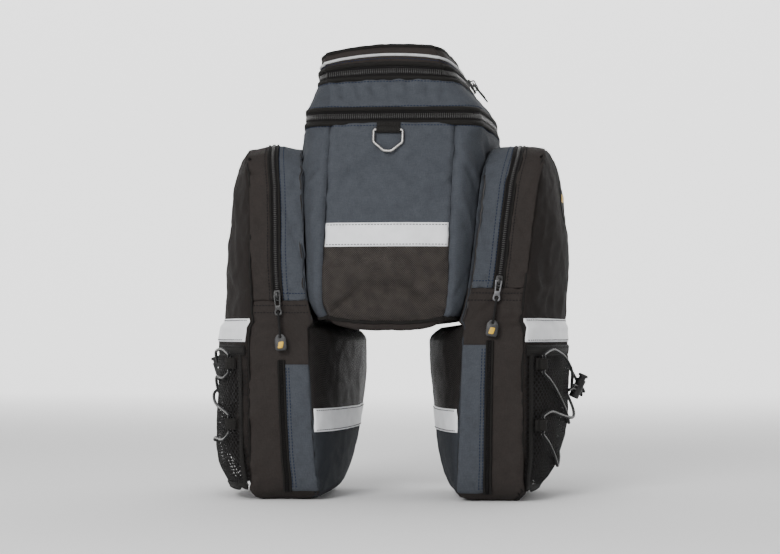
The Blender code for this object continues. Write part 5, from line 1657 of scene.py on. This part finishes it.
def make_lock(side, name):
    place = LOCK_PLACES[side]
    origin, out = outer_face(side, place.along, place.height, LOCK_STAND)
    frame = frame_at(origin, out, Vector((0, 0, 1)))
    frame = frame @ Matrix.Rotation(math.radians(place.lean), 4, "X")
    frame = frame @ Matrix.Rotation(math.radians(-side * place.turn), 4, "Z")
    half = LOCK_LENGTH / 2
    bore = LOCK_RADIUS - LOCK_WALL
    floor = 0.0015 - half
    rim = 0.0012
    turns = np.linspace(0, math.pi / 2, 6)
    profile = [(0, -half)]
    profile += [(LOCK_RADIUS - rim + rim * math.sin(t), -half + rim - rim * math.cos(t)) for t in turns]
    grooves = []
    for k in range(4):
        z = half - 0.0072 + k * 0.0016
        grooves += [(LOCK_RADIUS, z), (LOCK_RADIUS - 0.0003, z + 0.0003), (LOCK_RADIUS - 0.0003, z + 0.0006)]
        grooves += [(LOCK_RADIUS, z + 0.0009)]
    profile += grooves + [(LOCK_RADIUS, half - 0.0004), (LOCK_RADIUS - 0.0003, half), (bore, half), (bore, floor), (0, floor)]
    width = CORD_DIAMETER + 2 * CORD_CLEARANCE
    slot = block((4 * LOCK_RADIUS, width, 2 * width), (0, 0, 0), 0.0008)
    body = boolean(lathe(profile), slot, "DIFFERENCE")
    solid(f"{name}_lock_barrel", body, frame, "plastic", [f"{name}_lock"])
    stem = bore - RUNNING_CLEARANCE
    foot = floor + BUTTON_TRAVEL + RUNNING_CLEARANCE
    head = half + BUTTON_TRAVEL + RUNNING_CLEARANCE
    top = head + BUTTON_HEAD
    profile = [(0, foot), (stem, foot), (stem, head), (LOCK_RADIUS - 0.0003, head), (LOCK_RADIUS, head + 0.0003)]
    profile += [(LOCK_RADIUS - rim + rim * math.cos(t), top - rim + rim * math.sin(t)) for t in turns]
    profile += [(stem - rim, top), (stem - 2 * rim, top - 0.0005), (0, top - 0.0008)]
    slot = block((4 * LOCK_RADIUS, width, 2 * width + BUTTON_TRAVEL), (0, 0, BUTTON_TRAVEL / 2), 0.0008)
    button = boolean(lathe(profile), slot, "DIFFERENCE")
    solid(f"{name}_lock_plunger", button, frame, "plastic", [f"{name}_lock_button"], f"{name}_button")
    return frame


def make_lacing(side, name):
    channel = CORD_DIAMETER / 2 + CORD_CLEARANCE
    outside = channel + LOOP_WALL
    reach = LOOP_LENGTH / 2 - outside
    tunnels = {}
    for end, along in (("rear", REAR_LOOP), ("front", FRONT_LOOP)):
        for number, height in enumerate(LOOP_HEIGHTS, start=1):
            origin, out = outer_face(side, along, height, 0)
            frame = frame_at(origin, out, Vector((0, 0, 1)))
            toward = side if end == "rear" else -side
            rise = LIFT + outside
            turns = np.linspace(-math.pi / 2, math.pi / 2, 13)
            outline = [(reach + outside * math.cos(t), rise + outside * math.sin(t)) for t in turns]
            outline += [(reach - 0.0030, LIFT + 2.0 * outside - 0.0007), (4 * LOOP_WALL - LOOP_LENGTH / 2, LIFT + 2.2 * LOOP_WALL)]
            outline += [(-LOOP_LENGTH / 2, LIFT + 2 * LOOP_WALL), (-LOOP_LENGTH / 2, LIFT)]
            outlines = [[(x * toward, z) for x, z in line] for line in (outline, circle(reach, rise, channel))]
            flat = frame @ Matrix.Rotation(math.pi / 2, 4, "X")
            bm = plate_mesh(outlines, LOOP_WIDTH, 0.0004)
            solid(f"{name}_{end}_webbing_{number}", bm, flat, "webbing", [f"{name}_{end}_loop_{number}"])
            half = LOOP_WIDTH / 2
            levels = (half + 0.004, half, -half, -half - 0.004)
            tunnels[end, number] = [frame @ Vector((reach * toward, -rise, z)) for z in levels]
    lock = make_lock(side, name)
    strand = CORD_DIAMETER / 2 + CORD_CLEARANCE / 2

    def through(first, last, height):
        places = [first, -0.010, -LOCK_RADIUS, 0, LOCK_RADIUS, 0.010, last]
        drops = [-0.003, 0, 0, 0, 0, 0, -0.003]
        return [lock @ Vector((side * x, 0, height + drop)) for x, drop in zip(places, drops)]

    spans = []
    for rows in LEFT_LACING if side < 0 else RIGHT_LACING:
        spans.append([outer_face(side, row.along, row.height, row.lift)[0] for row in rows])
    path = through(-0.012, 0.016, strand)[::-1] + spans[0] + tunnels["rear", 1] + spans[1]
    path += tunnels["front", 2] + spans[2] + tunnels["rear", 2][::-1] + spans[3]
    path += tunnels["front", 1][::-1] + spans[4] + through(-0.015, 0.013, -strand)[::-1]
    points = np.array([tuple(p) for p in smooth_path(path, 6)])
    normals = np.tile((side, 0.0, 0.1), (len(points), 1))
    elastic = tube(points, normals, CORD_DIAMETER / 2, 14)
    add_parts(f"{name}_elastic_cord", [elastic], "elastic", [f"{name}_elastic"])


# Ring, tab, sliders and pulls

RING_WIRE = 0.0030
RING_WIDTH = 0.0335
RING_LEG = 0.0130
RING_DROP = 0.0225
RING_FLAT = 0.0075
RING_OFFSET = -0.003
RING_HEIGHT = MAIN_ZIP_HEIGHT - 0.0085
TAB_WIDTH = 0.0250
TAB_WALL = 0.0014
TAB_DROP = 0.0085
SLIDER_WIDTH = 0.0080
SLIDER_LENGTH = 0.0120
SLIDER_DEPTH = 0.0026
BRIDGE_WIDTH = 0.0022
BRIDGE_RISE = 0.0054
BRIDGE_WIRE = 0.0013
BRIDGE_PLAY = 0.00165
PULLER_LENGTH = 0.0215
PULLER_WIDTH = 0.0080
PULLER_THICKNESS = 0.0014
EYE_RADIUS = 0.0022
PULL_CORD = 0.0018
PULL_CORD_LENGTH = 0.0265
PULL_HEIGHTS = {-1: 0.218, 1: 0.233}
LID_PULLS = (0.30, 0.42)
LID_PULL_TILT = 14
MOULDED_WIDTH = 0.0125
MOULDED_LENGTH = 0.0175
MOULDED_DEPTH = 0.0024
LINK_CLEARANCE = 0.0003


def surface_frame(points_at, u, v):
    step = 0.01
    along = points_at(u + step, v) - points_at(u - step, v)
    up = points_at(u, v + step) - points_at(u, v - step)
    out = Vector(along).cross(Vector(up)).normalized()
    return Vector(points_at(u, v)), out, Vector(up)


def make_ring():
    centre = 0.5 + RING_OFFSET / FACE_WIDTH
    origin, out, up = surface_frame(lambda a, c: trunk_points(a, 0, c), centre, level(RING_HEIGHT))
    out = -out if out.y > 0 else out
    channel = RING_WIRE / 2 + RUNNING_CLEARANCE
    outside = channel + TAB_WALL
    frame = frame_at(origin + out * (outside + LIFT), out, up)
    reach = (RING_WIDTH - RING_WIRE) / 2
    flat = RING_FLAT / 2
    corners = [(-reach, 0), (reach, 0), (reach, -RING_LEG), (flat, -RING_DROP)]
    corners += [(-flat, -RING_DROP), (-reach, -RING_LEG)]
    path = np.array([(x, 0, z) for x, z in rounded(corners, 0.0022, 6)])
    verts, faces, uv = tube(path, np.tile((0.0, -1.0, 0.0), (len(path), 1)), RING_WIRE / 2, 16, closed=True)
    verts = [frame @ Vector(v) for v in verts]
    add_parts("ring_wire", [(verts, faces, uv)], "steel", ["ring"], "ring")
    front = outside - 2 * TAB_WALL
    turn = math.acos(front / outside)
    arc = [-math.tau * k / 48 for k in range(48)]
    outline = [(outside * math.cos(t), outside * math.sin(t)) for t in arc if t > turn - math.tau]
    outline += [(front, outside * math.sin(turn)), (front, TAB_DROP), (outside, TAB_DROP)]
    bm = plate_mesh([outline, circle(0, 0, channel, 32)], TAB_WIDTH, 0.0004)
    turned = frame @ Matrix.Rotation(math.pi / 2, 4, "Z")
    solid("ring_webbing_tab", bm, turned, "webbing", ["ring_tab"])


def make_pull(name, origin, out, up, material, body, tilt=0.0):
    """A zip slider and its puller. Returns the puller's hinge frame and the height of its eye."""
    frame = frame_at(origin, out, up)
    foot = LIFT + SLIDER_DEPTH - 0.0008
    crest = foot + BRIDGE_RISE
    half, long = SLIDER_WIDTH / 2, SLIDER_LENGTH / 2
    shape = [(-half * 0.72, -long), (half * 0.72, -long), (half, long * 0.35), (half * 0.8, long), (-half * 0.8, long), (-half, long * 0.35)]
    body_mesh = plate_mesh([rounded(shape, 0.0012)], SLIDER_DEPTH, 0.0005)
    bmesh.ops.translate(body_mesh, verts=body_mesh.verts[:], vec=(0, -LIFT - SLIDER_DEPTH / 2, 0))
    arch = [(-0.0042, foot), (-0.0036, crest - 0.0012), (-0.0022, crest), (0.0022, crest)]
    arch += [(0.0036, crest - 0.0012), (0.0042, foot), (0.0029, foot), (0.0024, crest - 0.0017)]
    arch += [(0.0017, crest - BRIDGE_WIRE), (-0.0017, crest - BRIDGE_WIRE)]
    arch += [(-0.0024, crest - 0.0017), (-0.0029, foot)]
    bridge = plate_mesh([arch], BRIDGE_WIDTH, 0.0003)
    bmesh.ops.transform(bridge, matrix=Matrix(((0, -1, 0, 0), (0, 0, -1, 0), (1, 0, 0, 0), (0, 0, 0, 1))), verts=bridge.verts[:])
    bmesh.ops.recalc_face_normals(bridge, faces=bridge.faces[:])
    slider = boolean(body_mesh, bridge, "UNION")
    solid(f"{name}_slider_body", slider, frame, "plastic", [f"{name}_slider"])
    hinge = frame @ Matrix.Translation((0, -(crest - BRIDGE_WIRE - BRIDGE_PLAY), 0))
    hinge = hinge @ Matrix.Rotation(math.radians(-tilt), 4, "X")
    half = PULLER_WIDTH / 2
    low = -PULLER_LENGTH
    outline = [(-half, 0.0006), (half, 0.0006), (half * 0.72, low * 0.62), (half, low * 0.80)]
    outline += [(half, low * 0.93), (half * 0.6, low), (-half * 0.6, low), (-half, low * 0.93)]
    outline += [(-half, low * 0.80), (-half * 0.72, low * 0.62)]
    slit = [(-0.0018, -0.0010), (0.0018, -0.0010), (0.0018, low * 0.5), (-0.0018, low * 0.5)]
    eye = low + EYE_RADIUS + 0.0013
    outlines = [rounded(outline, 0.0012), rounded(slit, 0.0006), circle(0, eye, EYE_RADIUS)]
    solid(f"{name}_puller_plate", plate_mesh(outlines, PULLER_THICKNESS, 0.00025), hinge, material, [f"{name}_puller"], body)
    return hinge, eye


def hang_tab(name, hinge, eye, body):
    gap = (MOULDED_DEPTH + PULL_CORD) / 2 + LINK_CLEARANCE
    end = eye - PULL_CORD_LENGTH
    ring = rounded([(-gap, eye), (gap, eye), (gap, end), (-gap, end)], 0.0018, 6)
    path = np.array([(0, y, z) for y, z in ring])
    verts, faces, uv = tube(path, np.tile((1.0, 0.0, 0.0), (len(path), 1)), PULL_CORD / 2, 12, closed=True)
    add_parts(f"{name}_cord_link", [([hinge @ Vector(v) for v in verts], faces, uv)], "pull_cord", [f"{name}_link"], body)
    top = end + EYE_RADIUS / 2 + PULL_CORD
    half = MOULDED_WIDTH / 2
    foot = top - MOULDED_LENGTH
    outline = [(-0.0030, top), (0.0030, top), (half, top - 0.0045), (half, foot + 0.0020)]
    outline += [(half - 0.0015, foot), (-half + 0.0015, foot), (-half, foot + 0.0020), (-half, top - 0.0045)]
    hole = circle(0, end, PULL_CORD / 2 + LINK_CLEARANCE)
    bm = plate_mesh([rounded(outline, 0.0016), hole], MOULDED_DEPTH, 0.0006)
    solid(f"{name}_moulded_tab", bm, hinge, "rubber", [f"{name}_tab"], body)
    inlay = [(-half * 0.55, foot + 0.0026), (half * 0.30, foot + 0.0026), (half * 0.55, top - 0.0080)]
    inlay += [(-half * 0.30, top - 0.0080)]
    for face, y in (("outer", -1), ("inner", 1)):
        pad = plate_mesh([rounded(inlay, 0.0014)], 0.0004, 0.0001)
        bmesh.ops.translate(pad, verts=pad.verts[:], vec=(0, y * (MOULDED_DEPTH / 2 + 0.00005), 0))
        solid(f"{name}_{face}_inlay", pad, hinge, "inlay", (), body)


def make_pulls():
    for side, name, material, slot in ((-1, "left", "plastic", "plastic"), (1, "right", "zinc", "puller")):
        a, c = (ZIP_INNER + ZIP_OUTER) / 2, PULL_HEIGHTS[side] / PANNIER_HEIGHT
        origin, out, up = surface_frame(lambda u, v: pannier_points(side, u, 0, v), a, c)
        out = -out if out.y > 0 else out
        hinge, eye = make_pull(f"{name}_pull", origin, out, up, material, f"{name}_zip_pull")
        hang_tab(f"{name}_pull", hinge, eye, f"{name}_zip_pull")
    c = level(LID_ZIP_HEIGHT + LID_ZIP_WIDTH / 2)
    for number, b in enumerate(LID_PULLS, start=1):
        origin, out, up = surface_frame(lambda u, v: trunk_points(1, u, v), b, c)
        out = -out if out.x < 0 else out
        name = f"lid_pull_{number}"
        make_pull(name, origin, out, up, "plastic", name, LID_PULL_TILT)


MATERIALS = make_materials()
make_camera()
make_studio()
make_trunk()
for side, name in ((-1, "left"), (1, "right")):
    make_pannier(side, name)
    make_net(side, name)
    make_bindings(side, name)
    make_lacing(side, name)
make_ring()
make_pulls()
